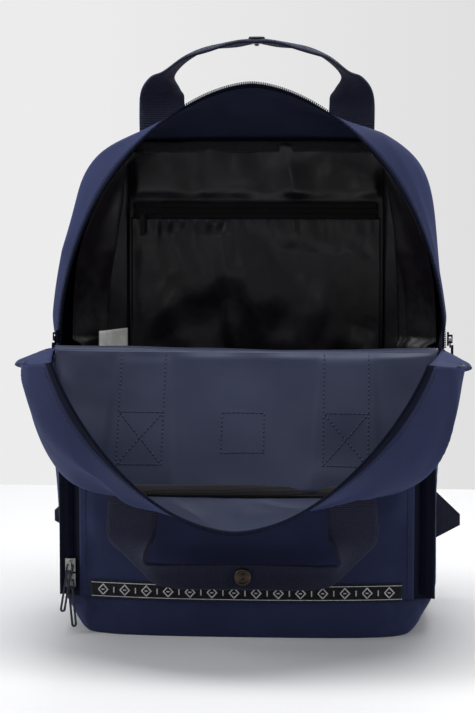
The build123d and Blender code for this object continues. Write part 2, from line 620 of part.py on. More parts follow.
save("ladder_lock_right", ladder_lock())
save("ladder_lock_left", mirrored(ladder_lock()))
LOCK_LOW_X, LOCK_LOW_Z = PAD_END_X + 9, PAD_END_Z - 33
TAB_X = HALF_WIDTH + TAB_REACH
TAB_MID = (TAB_LOW + TAB_HIGH) / 2 - 4


def strap_webbing():
    """Adjusting webbing from the buckle out to the corner tab, with its loose tail below."""
    start = (LOCK_LOW_X, PAD_END_Y, LOCK_LOW_Z)
    stations = [
        (start, (1, 0, 0.5), (0, 1, 0), STRAP_WEBBING_WIDTH, 1.6),
        ((LOCK_LOW_X + 16, PAD_END_Y - 1, LOCK_LOW_Z - 12), (0.6, 0, 0.8), (0, 1, 0),
         STRAP_WEBBING_WIDTH, 1.6),
        ((HALF_WIDTH - 20, BACK_FACE_Y + 12, TAB_MID - 2), (0.1, 0, 1), (0.1, 1, 0),
         STRAP_WEBBING_WIDTH, 1.6),
        ((HALF_WIDTH + 4, BACK_FACE_Y + 6, TAB_MID), (0, 0, 1), (0.15, 1, 0),
         STRAP_WEBBING_WIDTH, 1.6),
    ]
    return strap(stations)


save("strap_webbing_right", strap_webbing())
save("strap_webbing_left", mirrored(strap_webbing()))


def strap_tail():
    """Loose end of the webbing, hanging behind the buckle."""
    x, y, z = LOCK_LOW_X - 2, PAD_END_Y + 5, LOCK_LOW_Z + 4
    stations = [
        ((x, y, z), (1, 0, 0.25), (0, 1, 0), STRAP_WEBBING_WIDTH, 1.6),
        ((x + 4, y + 4, z - 26), (1, 0, 0.1), (0, 1, 0.1), STRAP_WEBBING_WIDTH, 1.6),
        ((x + 5, y + 5, z - 62), (1, 0, 0), (0, 1, 0), STRAP_WEBBING_WIDTH, 1.6),
    ]
    return strap(stations)


save("strap_tail_right", strap_tail())
save("strap_tail_left", mirrored(strap_tail()))


def corner_tab():
    """Triangular tab sewn into the back seam; the strap's webbing starts from its point."""
    y0 = BACK_FACE_Y + 0.2
    points = [(HALF_WIDTH - 14, y0, TAB_LOW - 2), (HALF_WIDTH - 14, y0, TAB_HIGH),
              (HALF_WIDTH + 2, y0, TAB_HIGH), (TAB_X, y0, TAB_MID + 3), (TAB_X, y0, TAB_MID - 6),
              (HALF_WIDTH + 2, y0, TAB_LOW - 2)]
    return Solid.extrude(quad(points), Vector(0, 1.8, 0))


save("corner_tab_right", corner_tab())
save("corner_tab_left", mirrored(corner_tab()))
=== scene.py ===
import bpy, bmesh, json, math
from mathutils import Matrix, Vector, noise
from mathutils.bvhtree import BVHTree


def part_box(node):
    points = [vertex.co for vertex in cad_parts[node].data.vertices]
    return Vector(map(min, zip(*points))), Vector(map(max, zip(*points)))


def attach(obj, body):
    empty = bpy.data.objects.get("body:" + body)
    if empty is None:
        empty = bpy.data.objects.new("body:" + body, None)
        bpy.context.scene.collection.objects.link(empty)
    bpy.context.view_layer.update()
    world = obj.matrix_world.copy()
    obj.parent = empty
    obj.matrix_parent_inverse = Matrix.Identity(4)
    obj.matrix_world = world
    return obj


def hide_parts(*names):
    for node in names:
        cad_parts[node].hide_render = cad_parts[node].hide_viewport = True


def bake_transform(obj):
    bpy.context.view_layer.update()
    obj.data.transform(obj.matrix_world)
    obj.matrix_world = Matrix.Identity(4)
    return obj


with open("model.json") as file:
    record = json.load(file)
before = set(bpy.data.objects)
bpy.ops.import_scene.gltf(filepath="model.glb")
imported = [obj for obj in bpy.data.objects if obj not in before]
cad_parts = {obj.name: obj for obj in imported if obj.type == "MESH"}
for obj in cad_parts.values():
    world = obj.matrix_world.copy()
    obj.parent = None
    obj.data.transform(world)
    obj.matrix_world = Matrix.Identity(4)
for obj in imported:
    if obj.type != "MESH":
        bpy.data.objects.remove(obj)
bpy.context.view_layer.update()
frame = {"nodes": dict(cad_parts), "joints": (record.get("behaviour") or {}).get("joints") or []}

scene = bpy.context.scene
scene.view_settings.view_transform = "Standard"
mm = 0.001


def mix(a, b, t):
    return a + (b - a) * t


def smooth(lo, hi, x):
    t = max(0.0, min(1.0, (x - lo) / (hi - lo)))
    return t * t * (3 - 2 * t)


def fade(edge, x):  # 0 at both ends, 1 from edge inwards
    return smooth(0, edge, x) * smooth(0, edge, 1 - x)


def hump(x):
    return math.sin(math.pi * x)


def bump(x, centre, spread):
    return math.exp(-((x - centre) / spread) ** 2)


def wave(x, y, z=0.0, seed=0.0):  # soft noise, about -1 to 1
    return noise.noise(Vector((x + seed * 7.31, y - seed * 3.17, z + seed * 1.93)))


def crease(x, y, z=0.0, seed=0.0):  # sharp ridges, 0 to 1
    return max(0.0, 1 - 2.6 * abs(wave(x, y, z, seed))) ** 2


# camera and stage
view = {"distance": 1.870, "height": 0.419, "side": 0.106, "yaw": 3.59, "pitch": 6.34, "lens": 118.1}
camData = bpy.data.cameras.new("camera")
camData.lens, camData.sensor_width = view["lens"], 36
camera = bpy.data.objects.new("camera", camData)
scene.collection.objects.link(camera)
camera.location = (view["side"], -view["distance"], view["height"])
camera.rotation_euler = (math.radians(90 - view["pitch"]), 0, math.radians(view["yaw"]))
scene.camera = camera

world = bpy.data.worlds.new("studio")
scene.world = world
world.use_nodes = True
sky = world.node_tree
air, rays, place = (sky.nodes.new("ShaderNode" + kind) for kind in ("Background", "LightPath", "TexCoord"))
parts, span, both = (sky.nodes.new("ShaderNode" + kind) for kind in ("SeparateXYZ", "MapRange", "MixShader"))
sky.nodes["Background"].inputs[0].default_value = (0.86, 0.87, 0.90, 1)
sky.nodes["Background"].inputs[1].default_value = 0.30
sky.links.new(place.outputs["Generated"], parts.inputs[0])
sky.links.new(parts.outputs[0], span.inputs[0])
for socket, value in ((1, -0.13), (2, 0.16), (3, 1.05), (4, 0.85)):
    span.inputs[socket].default_value = value
sky.links.new(span.outputs[0], air.inputs[1])
sky.links.new(rays.outputs["Is Camera Ray"], both.inputs[0])
sky.links.new(sky.nodes["Background"].outputs[0], both.inputs[1])
sky.links.new(air.outputs[0], both.inputs[2])
sky.links.new(both.outputs[0], sky.nodes["World Output"].inputs[0])


def softbox(name, place, target, size, power):
    data = bpy.data.lights.new(name, "AREA")
    data.shape, data.size, data.size_y, data.energy = "RECTANGLE", size[0], size[1], power
    lamp = bpy.data.objects.new(name, data)
    scene.collection.objects.link(lamp)
    lamp.location = place
    lamp.rotation_euler = (Vector(target) - Vector(place)).to_track_quat("-Z", "Y").to_euler()


softbox("topSoftbox", (-0.05, -0.08, 1.75), (0, 0, 0.3), (1.4, 0.9), 25)
softbox("leftSoftbox", (-1.9, -0.30, 1.2), (0, 0, 0.3), (0.8, 1.3), 19)
softbox("rightSoftbox", (1.9, -0.6, 1.1), (0, 0, 0.25), (0.7, 1.1), 10)
softbox("frontSoftbox", (-0.7, -2.6, 1.1), (0, 0, 0.2), (0.9, 0.9), 2)
softbox("backSoftbox", (0.3, 2.1, 1.3), (0, 0, 0.25), (1.6, 1.2), 12)
print("stage and lights")


# shader maths on sockets
class Wire:
    def __init__(self, tree, socket):
        self.tree, self.socket = tree, socket

    def maths(self, operation, other=None, flip=False):
        node = self.tree.nodes.new("ShaderNodeMath")
        node.operation = operation
        for slot, value in enumerate((other, self) if flip else (self, other)):
            if isinstance(value, Wire):
                self.tree.links.new(value.socket, node.inputs[slot])
            elif value is not None:
                node.inputs[slot].default_value = value
        return Wire(self.tree, node.outputs[0])

    def __add__(self, other): return self.maths("ADD", other)
    def __radd__(self, other): return self.maths("ADD", other)
    def __sub__(self, other): return self.maths("SUBTRACT", other)
    def __rsub__(self, other): return self.maths("SUBTRACT", other, True)
    def __mul__(self, other): return self.maths("MULTIPLY", other)
    def __rmul__(self, other): return self.maths("MULTIPLY", other)
    def sin(self): return self.maths("SINE")
    def abs(self): return self.maths("ABSOLUTE")


class Finish:
    def __init__(self, name, **fixed):
        self.material = bpy.data.materials.new(name)
        self.material.use_nodes = True
        self.tree = self.material.node_tree
        self.shader = self.tree.nodes["Principled BSDF"]
        for socket, value in fixed.items():
            self.shader.inputs[socket.replace("_", " ")].default_value = value
        self.coords = self.tree.nodes.new("ShaderNodeTexCoord")

    def node(self, kind, settings, inputs, output=0):
        made = self.tree.nodes.new("ShaderNode" + kind)
        for key, value in settings.items():
            setattr(made, key, value)
        for key, value in inputs.items():
            if isinstance(value, Wire):
                self.tree.links.new(value.socket, made.inputs[key])
            else:
                made.inputs[key].default_value = value
        return Wire(self.tree, made.outputs[output])

    def objectSpace(self):
        return Wire(self.tree, self.coords.outputs["Object"])

    def clothSpace(self):
        return Wire(self.tree, self.coords.outputs["UV"])

    def split(self, vector):
        node = self.tree.nodes.new("ShaderNodeSeparateXYZ")
        self.tree.links.new(vector.socket, node.inputs[0])
        return [Wire(self.tree, out) for out in node.outputs]

    def cloud(self, space, scale, detail=3.0, stretch=(1, 1, 1), roughness=0.5):
        moved = self.node("Mapping", {}, {"Vector": space, "Scale": stretch})
        return self.node("TexNoise", {}, {"Vector": moved, "Scale": scale, "Detail": detail, "Roughness": roughness})

    def span(self, value, low, high, outLow=0.0, outHigh=1.0):
        return self.node("MapRange", {"interpolation_type": "SMOOTHSTEP"},
                         {"Value": value, "From Min": low, "From Max": high, "To Min": outLow, "To Max": outHigh})

    def blendColour(self, share, first, second):
        return self.node("Mix", {"data_type": "RGBA"}, {0: share, 6: first, 7: second}, 2)

    def wear(self, socket, value):
        self.tree.links.new(value.socket, self.shader.inputs[socket])

    def relief(self, height, depth, strength=1.0):
        self.wear("Normal", self.node("Bump", {}, {"Height": height, "Distance": depth * mm, "Strength": strength}))


def dark(colour, share):
    return tuple(c * share for c in colour[:3]) + (1,)


def plainWeave(finish, pitch):
    u, v, _ = finish.split(finish.clothSpace())
    warp, weft = ((way * (math.pi / (pitch * mm))).sin() for way in (u, v))
    return 0.5 + 0.5 * (warp * weft)


def canvasFinish(name, colour, pitch=0.75, rough=0.74, sheen=0.10, streak=0.10):
    finish = Finish(name, Sheen_Weight=sheen, Sheen_Roughness=0.5, Sheen_Tint=(0.25, 0.34, 1.0, 1),
                    Specular_IOR_Level=0.2, Specular_Tint=(0.5, 0.6, 1.0, 1))
    height = plainWeave(finish, pitch)
    mottle = finish.cloud(finish.objectSpace(), 26, 4)
    slub = finish.cloud(finish.clothSpace(), 60, 2, (1, 14, 1))
    shade = finish.span(mottle + 0.35 * slub, 0.45, 0.95)
    tone = finish.blendColour(shade, dark(colour, 1 - 2 * streak), dark(colour, 1 + streak))
    # painted shade in the weave: where the weave height is low, the colour is mixed towards a darker navy
    tone = finish.blendColour(finish.span(height, 0.1, 0.8, 0.45, 0.0), tone, dark(colour, 0.55))
    finish.wear("Base Color", tone)
    finish.wear("Roughness", finish.span(mottle, 0.3, 0.7, rough - 0.05, rough + 0.07))
    soft = finish.cloud(finish.objectSpace(), 13, 3, (1, 1, 0.6), 0.55)
    finish.relief(0.13 * height + 0.07 * slub + 5.0 * soft, 1.0, 0.75)
    return finish.material


def coatedFinish(name, colour):
    finish = Finish(name, Sheen_Weight=0.05, Sheen_Roughness=0.35, Sheen_Tint=(0.5, 0.6, 1.0, 1),
                    Specular_IOR_Level=0.36, Specular_Tint=(0.66, 0.74, 1.0, 1))
    height = plainWeave(finish, 0.9)
    smear = finish.cloud(finish.objectSpace(), 11, 5, (1, 1, 1), 0.6)
    scuff = finish.cloud(finish.clothSpace(), 45, 6, (1, 3, 1), 0.7)
    tone = finish.blendColour(finish.span(smear, 0.3, 0.7), dark(colour, 0.88), dark(colour, 1.08))
    tone = finish.blendColour(finish.span(scuff, 0.62, 0.80, 0.0, 0.35), tone, dark(colour, 1.5))
    finish.wear("Base Color", tone)
    finish.wear("Roughness", finish.span(smear + 0.2 * scuff, 0.4, 0.8, 0.40, 0.56))
    soft = finish.cloud(finish.objectSpace(), 9, 3, (1, 1, 0.7), 0.5)
    finish.relief(0.03 * height + 0.10 * scuff + 4.0 * soft, 1.0, 0.6)
    return finish.material


def satinFinish(name, colour):
    finish = Finish(name, Sheen_Weight=0.04, Sheen_Roughness=0.3, Specular_IOR_Level=0.36)
    rumple = finish.cloud(finish.clothSpace(), 15, 4, (1.0, 0.7, 1), 0.5)
    fine = finish.cloud(finish.clothSpace(), 90, 3, (1.0, 0.8, 1))
    # painted highlight and shade: the rumple that bumps the satin also lightens its raised folds and darkens its
    # hollows
    tone = finish.blendColour(finish.span(rumple, 0.3, 0.75), dark(colour, 0.7), dark(colour, 1.5))
    finish.wear("Base Color", tone)
    finish.wear("Roughness", finish.span(fine, 0.3, 0.7, 0.30, 0.44))
    finish.relief(4.0 * rumple + 0.35 * fine, 0.9, 0.8)
    return finish.material


def webbingFinish(name, colour, rib=1.7):
    finish = Finish(name, Sheen_Weight=0.08, Sheen_Roughness=0.4, Sheen_Tint=(0.4, 0.5, 1.0, 1),
                    Specular_IOR_Level=0.3)
    u, v, _ = finish.split(finish.clothSpace())
    ribs = (v * (math.pi / (rib * mm))).sin().abs()
    cords = (u * (math.pi / (1.25 * mm))).sin().abs()
    fuzz = finish.cloud(finish.clothSpace(), 420, 2)
    height = ribs * 0.75 + cords * 0.4
    # painted shade and highlight: the rib and cord height that drives the bump darkens the grooves and lightens the
    # ribs; the fuzz adds some random tone
    tone = finish.blendColour(finish.span(height + 0.3 * fuzz, 0.2, 1.1), dark(colour, 0.35), dark(colour, 1.35))
    finish.wear("Base Color", tone)
    finish.wear("Roughness", finish.span(fuzz, 0.3, 0.7, 0.55, 0.74))
    finish.relief(height, 0.45, 0.9)
    return finish.material


def tapeFinish(name, colour):
    finish = Finish(name, Specular_IOR_Level=0.08)
    u, v, _ = finish.split(finish.clothSpace())
    herring = ((u + v) * (math.pi / (0.9 * mm))).sin() * ((u - v) * (math.pi / (0.9 * mm))).sin()
    grime = finish.cloud(finish.objectSpace(), 60, 3)
    # painted shade: the herringbone height that drives the bump also darkens the tape in its grooves
    tone = finish.blendColour(finish.span(herring, -0.6, 0.8), dark(colour, 0.55), dark(colour, 1.15))
    finish.wear("Base Color", finish.blendColour(finish.span(grime, 0.4, 0.8, 0, 0.4), tone, dark(colour, 1.6)))
    finish.wear("Roughness", finish.span(grime, 0.3, 0.7, 0.6, 0.75))
    finish.relief(herring, 0.15, 0.8)
    return finish.material


def mouldedFinish(name, colour, rough, metal=0.0, grain=300, wearTone=1.6, shine=0.5):
    finish = Finish(name, Specular_IOR_Level=shine)
    speck = finish.cloud(finish.objectSpace(), grain, 4)
    rub = finish.cloud(finish.objectSpace(), 90, 5, (1, 1, 1), 0.65)
    finish.wear("Base Color", finish.blendColour(finish.span(rub, 0.52, 0.72, 0, 0.7), dark(colour, 1),
                                                 dark(colour, wearTone)))
    finish.wear("Roughness", finish.span(rub, 0.3, 0.75, rough + 0.08, rough - 0.06))
    if metal:
        finish.wear("Metallic", finish.span(rub, 0.2, 0.7, metal - 0.15, metal))
    finish.relief(speck, 0.04, 0.5)
    return finish.material


navy = (0.0255, 0.0305, 0.075)
canvas = canvasFinish("navyCanvas", navy)
padCloth = canvasFinish("padCanvas", navy, 0.9)
coated = coatedFinish("coatedInside", (0.0195, 0.0235, 0.048))
satin = satinFinish("blackSatin", (0.0072, 0.0054, 0.0078))
webbing = webbingFinish("navyWebbing", (0.0065, 0.0085, 0.027))
narrowWebbing = webbingFinish("strapWebbing", (0.014, 0.018, 0.046), 1.3)
binding = webbingFinish("brownBinding", (0.0085, 0.0062, 0.0068), 1.1)
zipTape = tapeFinish("zipTape", (0.0055, 0.007, 0.018))
blackTape = tapeFinish("blackTape", (0.0091, 0.0083, 0.0094))
coilNavy = mouldedFinish("zipCoil", (0.005, 0.0065, 0.017), 0.8, shine=0.04)
coilBlack = mouldedFinish("blackCoil", (0.0105, 0.0099, 0.0108), 0.75, shine=0.08)
thread = mouldedFinish("sewingThread", (0.010, 0.014, 0.046), 0.6, 0, 900, 1.4)
bronze = mouldedFinish("antiqueBronze", (0.060, 0.043, 0.033), 0.32, 0.9, 500, 2.6)
nickel = mouldedFinish("darkNickel", (0.22, 0.215, 0.21), 0.30, 0.95, 500, 1.6)
gunmetal = mouldedFinish("gunmetal", (0.035, 0.035, 0.038), 0.34, 0.9, 500, 2.2)
pullRubber = mouldedFinish("pullTab", (0.012, 0.015, 0.034), 0.5)
acetal = mouldedFinish("blackAcetal", (0.010, 0.010, 0.012), 0.42)
boardBlack = mouldedFinish("stiffenerBoard", (0.03, 0.03, 0.032), 0.6)
foamGrey = mouldedFinish("foam", (0.16, 0.16, 0.17), 0.9)
ribbonBlack = webbingFinish("ribbonBlack", (0.0032, 0.0032, 0.0045), 0.7)
silver = mouldedFinish("silverThread", (0.50, 0.50, 0.52), 0.42, 0.35, 900, 1.25)
labelWhite = tapeFinish("labelSatin", (0.72, 0.72, 0.70))
print("materials")

# the bag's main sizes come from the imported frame
joints = {joint["name"]: joint for joint in frame["joints"]}
fold = joints["flap_fold"]
foldY, foldZ = fold["pos_m"][1] / mm, fold["pos_m"][2] / mm
openAngle = -fold["range_deg"][0]
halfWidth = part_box("side_right")[1].x / mm
halfDepth = -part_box("pocket_zip_right")[0].y / mm - 0.5
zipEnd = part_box("side_right")[1].z / mm + 0.3
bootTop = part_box("base_boot")[1].z / mm + 2
archHalf, archTop = 155.0, 430.0  # the zip's line
topSeam = 382.0  # the panels' top seam
boxy = 6.5  # how square the top corners are
skin = 0.6  # the cloth stands this far off the stiff body


def archPoint(degrees):
    a = math.radians(degrees)
    side = 1 if degrees <= 90 else -1
    return side * archHalf * abs(math.cos(a)) ** 1.176, zipEnd + (archTop - zipEnd) * math.sin(a)


def archAngle(z):
    return math.degrees(math.asin(min(1, max(0, (z - zipEnd) / (archTop - zipEnd)))))


panelEnd = archAngle(306)  # where the panels' curved top meets their straight sides


def outlinePoint(x, z):
    bearing = math.atan2(z - zipEnd, x)
    across, up = abs(math.cos(bearing)) / halfWidth, abs(math.sin(bearing)) / (topSeam - zipEnd)
    reach = (across ** boxy + up ** boxy) ** (-1 / boxy)
    return reach * math.cos(bearing), zipEnd + reach * math.sin(bearing)


def opened(x, y, z):  # from the closed flap to the hanging one
    a = math.radians(openAngle)
    dy, dz = y - foldY, z - foldZ
    return x, foldY + dy * math.cos(a) - dz * math.sin(a), foldZ + dy * math.sin(a) + dz * math.cos(a)


def onLid(x, closedZ, out=skin):  # a point on the outer side of the opened flap
    return opened(x, -halfDepth - out, closedZ)


# building helpers
def hand(side):
    return "right" if side > 0 else "left"


def meshOf(name, bm):
    mesh = bpy.data.meshes.new(name)
    bm.to_mesh(mesh)
    bm.free()
    return mesh


def newPiece(name, mesh, material, body=None):
    piece = bpy.data.objects.new(name, mesh)
    scene.collection.objects.link(piece)
    mesh.materials.append(material)
    for face in mesh.polygons:
        face.use_smooth = True
    if body:
        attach(piece, body)
    return piece


def standsFor(piece, slot, *nodes):
    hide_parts(*nodes)


# a sheet of cloth: place(u, v) in mm, flat gives its UV size, relief(u, v) lifts it along its normal
def cloth(name, cells, place, flat, material, body=None, relief=None, thick=1.2, offset=-1.0, flip=False, inside=None):
    bm = bmesh.new()
    bmesh.ops.create_grid(bm, x_segments=cells[0], y_segments=cells[1], size=1)
    layer = bm.loops.layers.uv.new("cloth")
    spot = {v: ((v.co.x + 1) / 2, (v.co.y + 1) / 2) for v in bm.verts}
    for face in bm.faces:
        for loop in face.loops:
            u, v = spot[loop.vert]
            loop[layer].uv = flat(u, v) if callable(flat) else (u * flat[0] * mm, v * flat[1] * mm)
    for v in bm.verts:
        v.co = Vector(place(*spot[v])) * mm
    if flip:
        bmesh.ops.reverse_faces(bm, faces=bm.faces)
    if relief:
        bm.normal_update()
        moves = {v: v.normal * relief(*spot[v]) * mm for v in bm.verts}
        for v, move in moves.items():
            v.co += move
    piece = newPiece(name, meshOf(name, bm), material, body)
    if inside:
        piece.data.materials.append(inside)
    shell = piece.modifiers.new("thickness", "SOLIDIFY")
    shell.thickness, shell.offset, shell.use_even_offset = thick * mm, offset, False
    shell.material_offset = 1 if inside else 0
    return piece


def surfaceOf(piece):
    held = piece.modifiers[:]
    for modifier in held:
        modifier.show_viewport = False
    tree = BVHTree.FromObject(piece, bpy.context.evaluated_depsgraph_get())
    for modifier in held:
        modifier.show_viewport = True
    return tree


def alongPath(points, pitch):
    total, at = 0.0, pitch / 2
    for a, b in zip(points, points[1:]):
        step = (b - a).length
        while at <= total + step and step > 0:
            yield a.lerp(b, (at - total) / step), (b - a).normalized()
            at += pitch
        total += step


def addBar(bm, centre, along, normal, length, width, height):
    side = normal.cross(along).normalized()
    turn = Matrix((along, side, normal)).transposed().to_4x4()
    size = Matrix.Diagonal((length, width, height, 1))
    bmesh.ops.create_cube(bm, size=1, matrix=Matrix.Translation(centre) @ turn @ size)


def sew(name, piece, paths, body=None, pitch=3.6, length=2.6, width=0.6, facing=None, material=None, lift=0.15):
    tree = surfaceOf(piece)
    bm = bmesh.new()
    for path in paths:
        for centre, along in alongPath([Vector(p) * mm for p in path], pitch * mm):
            hit, normal, _, _ = tree.find_nearest(centre)
            if hit is None:
                continue
            if facing is not None and normal.dot(facing) < 0:
                normal = -normal
            along = (along - normal * along.dot(normal)).normalized()
            addBar(bm, hit + normal * lift * mm, along, normal, length * mm, width * mm, 0.45 * mm)
    return newPiece(name, meshOf(name, bm), material or thread, body)


# lower shell
boot = {"rise": bootTop, "bottomX": halfWidth - 19, "front": 85.0, "rear": halfDepth - 13, "share": 0.66}


def frontBulge(x, z):
    return (1 - min(1, abs(x) / 139) ** 2.4) * (13.5 + 4.5 * math.sin(math.pi * min(1, max(0, (z - 28) / 200))))


def pocketEdgeY(x, z):
    return -halfDepth - skin - frontBulge(x, z)


def leftSwell(y, z):  # the soft left side hangs out a little
    return 11 * bump(z, 212, 95) * abs(math.sin(math.pi * y / 70))


def bootPlace(u, v):
    a, b = 2 * u - 1, 2 * v - 1
    r = max(abs(a), abs(b), 1e-6)
    da, db = a / r, b / r
    pull = (abs(da) ** 9 + abs(db) ** 9) ** (-1 / 9)
    da, db = da * pull, db * pull
    low = boot["rear"] if db > 0 else boot["front"] - 8 * abs(da) ** 3
    if r <= boot["share"]:
        t = r / boot["share"]
        return da * boot["bottomX"] * t, db * low * t, 0.02
    t = (r - boot["share"]) / (1 - boot["share"])
    corner = (abs(da) * abs(db)) ** 4
    x = da * (mix(boot["bottomX"], halfWidth + 0.4, t ** 0.85) + 1.6 * hump(t))
    z = boot["rise"] * (t ** 1.12)
    high = halfDepth + skin + (frontBulge(x, boot["rise"]) if db < 0 else 0)
    y = db * (mix(low, high, t ** 0.85) + 1.8 * hump(t))
    pinch = 5.5 * corner * hump(min(1, t * 1.1)) ** 2
    rumple = 1.1 * wave(x * 0.035, y * 0.035, z * 0.06, 3) * smooth(0.03, 0.4, t) * smooth(1, 0.8, t)
    rumple += 2.2 * corner * wave(x * 0.12, y * 0.12, z * 0.12, 5) * smooth(1, 0.8, t)
    norm = Vector((da, db, 0)).normalized()
    return x - norm.x * (pinch - rumple), y - norm.y * (pinch - rumple), z


def bootFlat(u, v):
    x, y, z = bootPlace(u, v)
    a, b = 2 * u - 1, 2 * v - 1
    return ((x + (z if abs(a) > abs(b) else 0) * (1 if a > 0 else -1)) * mm,
            (y + (z if abs(b) >= abs(a) else 0) * (1 if b > 0 else -1)) * mm)


bootPiece = cloth("baseBoot", (150, 110), bootPlace, bootFlat, canvas, "bag", flip=True, inside=satin)
standsFor(bootPiece, "shell_fabric", "base_boot")


def wallX(y, z, side=1):
    mid = 1 - min(1, abs(y) / 70) ** mix(2, 1.1, smooth(150, 218, z))
    swell = 8.0 * smooth(110, 218, z) * mid + (leftSwell(y, z) if side < 0 else 0)
    return halfWidth + swell + 2.4 * mid * math.sin(math.pi * min(1, max(0, (z - 28) / 190)))


def sideWall(side):
    def place(u, v):
        y, z = mix(-68.5, 69.5, u), mix(bootTop - 0.6, zipEnd, v)
        return side * wallX(y, z, side), y, z

    def relief(u, v):
        edge = fade(0.12, u) * smooth(0, 0.06, v)
        folds = 2.2 * wave(u * 2.2, v * 1.6, 0, 11 + side) + 1.1 * crease(u * 2.5, v * 1.3 + u, 0, 21 + side)
        return edge * folds

    piece = cloth("side" + hand(side).title(), (44, 60), place, (138, 190), canvas, "bag", relief,
                  flip=side < 0, inside=satin)
    standsFor(piece, "shell_fabric", "side_" + hand(side))


sideWall(1)
sideWall(-1)

pocket = {"half": 131.0, "low": bootTop - 1.0, "high": 213.0}


def pocketPlace(u, v):
    x, z = mix(-pocket["half"], pocket["half"], u), mix(pocket["low"], pocket["high"], v)
    return x, pocketEdgeY(x, z), z


def pocketRelief(u, v):
    edge = fade(0.05, u) * smooth(0.07, 0.16, v)
    drape = 3.6 * wave(u * 3.1, v * 1.5, 0, 31) + 2.6 * crease(u * 1.7 + v * 0.9, v * 1.2, 0, 35)
    for at, rise, slope in ((0.055, 0.55, 0.22), (0.06, 0.33, 0.10), (0.945, 0.62, -0.20), (0.94, 0.40, -0.12)):
        drape += 3.2 * bump(v - (u - at) * -4 * slope, rise, 0.07) * bump(u, at, 0.06)
    return edge * (drape - 1.0)


pocketPiece = cloth("pocketPanel", (130, 90), pocketPlace, (262, 190), canvas, "bag", pocketRelief, inside=coated)
standsFor(pocketPiece, "shell_fabric", "pocket_panel")

backFront = cloth("frontPanel", (60, 40),
                  lambda u, v: (mix(-halfWidth + 3, halfWidth - 3, u), -halfDepth + 5, mix(bootTop, 199, v)),
                  (290, 170), satin, "bag", lambda u, v: 1.2 * wave(u * 3, v * 2, 0, 77))
standsFor(backFront, "lining_satin", "front_panel")
print("lower shell")

# rear gusset with its zip
hem = 0.952  # where the cloth of a gusset stops and the zip tape goes on


def gussetPlace(u, v):
    angle = 180 * u
    ax, az = archPoint(angle)
    ox, oz = outlinePoint(ax, az)
    corner = bump(abs(angle - 90), 44, 17)
    x, z, y = mix(ox, ax, v), mix(oz, az, v), mix(halfDepth, 1.6, v)
    away = Vector((x, z - zipEnd)).normalized() if abs(x) + abs(z - zipEnd) > 1 else Vector((1, 0))
    puff = (4.0 + 6.0 * corner) * hump(v) * smooth(0, 8, min(angle, 180 - angle) + 1)
    x += away.x * puff - (leftSwell(y, z) if x < 0 else 0)
    return x, y, z + away.y * puff


def rearPlace(u, v):
    return gussetPlace(1 - u, v * hem)


def gussetRelief(u, v):
    return fade(0.04, u) * hump(v) * (3.2 * wave(u * 7, v * 1.2, 0, 41) + 2.2 * crease(u * 5, v * 1.1 + u, 0, 43))


rearGusset = cloth("rearGusset", (190, 26), rearPlace, (620, 78), canvas, "bag", gussetRelief,
                   inside=coated, flip=True)
standsFor(rearGusset, "shell_fabric", "rear_gusset")


def edgeRun(place, count=400):
    return [Vector(place(i / count)) for i in range(count + 1)]


coilBar = {"pitch": 1.75, "length": 1.05, "width": 1.9, "height": 1.9}
chain = {"pitch": 1.7, "apart": 1.05, "stagger": 0.25, "slant": 0.28, "length": 1.0, "width": 1.9, "height": 1.5,
         "coreWidth": 3.6, "coreHeight": 0.7, "coreDepth": 0.35}


def zipAlong(name, edge, normalOf, body, replaced):
    bm = bmesh.new()
    for centre, along in alongPath([p * mm for p in edge], coilBar["pitch"] * mm):
        normal = normalOf(centre / mm)
        addBar(bm, centre + normal * 0.2 * mm, along, normal,
               coilBar["length"] * mm, coilBar["width"] * mm, coilBar["height"] * mm)
    coil = newPiece(name + "Coil", meshOf(name + "Coil", bm), coilNavy, body)
    standsFor(coil, "zip_teeth", replaced)


rearEdge = edgeRun(lambda t: gussetPlace(1 - t, 1))
zipAlong("rearZip", [p + Vector((0, -0.6, 0)) for p in rearEdge],
         lambda p: Vector((p.x, 0, p.z - zipEnd + 6)).normalized(), "bag", "rear_zip_teeth")


def rearTapePlace(u, v):
    x, y, z = gussetPlace(1 - u, mix(hem - 0.03, 1.0, v))
    away = Vector((x, z - zipEnd + 6)).normalized()
    return x - away.x * 0.9, y - 0.6 * v, z - away.y * 0.9


rearTape = cloth("rearZipTape", (190, 4), rearTapePlace, (620, 10), zipTape, "bag", thick=0.9, offset=0)
standsFor(rearTape, "zip_tape", "rear_zip_tape")
print("rear gusset")

# flap: drawn closed, then opened
lid = {"low": foldZ + 21, "rimStart": foldZ + 58, "ear": 15.0, "draw": 4.5}
rimAngle = archAngle(lid["rimStart"])
seamAngle = archAngle(lid["low"] + 8)


def lidPoint(u, v):
    x1, z1 = outlinePoint(*archPoint(mix(panelEnd, 180 - panelEnd, u)))
    return mix(mix(halfWidth, -halfWidth, u), x1, v), mix(lid["low"], z1, v)


def lidFlat(u, v):
    x, z = lidPoint(u, v)
    return x * mm, z * mm


def lidRelief(u, v):
    x = mix(halfWidth, -halfWidth, u)
    inner = smooth(0, 0.06, v) * smooth(0, 0.05, 1 - v) * fade(0.03, u)
    strapMark = 0.9 * smooth(21.5, 19.0, abs(abs(x) - 78))  # the webbing behind shows through
    swell = 3.6 * wave(u * 2.4, v * 1.1, 0, 51) + 2.4 * wave(u * 5.5, v * 2.6, 0, 53)
    return inner * max(-0.7, 1.2 + swell) + strapMark * smooth(0, 0.1, v) * smooth(1, 0.82, v)


lidPanel = cloth("flapPanel", (150, 70), lambda u, v: onLid(*lidPoint(u, v)), lidFlat, coated, "flap", lidRelief,
                 inside=canvas)
standsFor(lidPanel, "shell_fabric", "flap_panel")


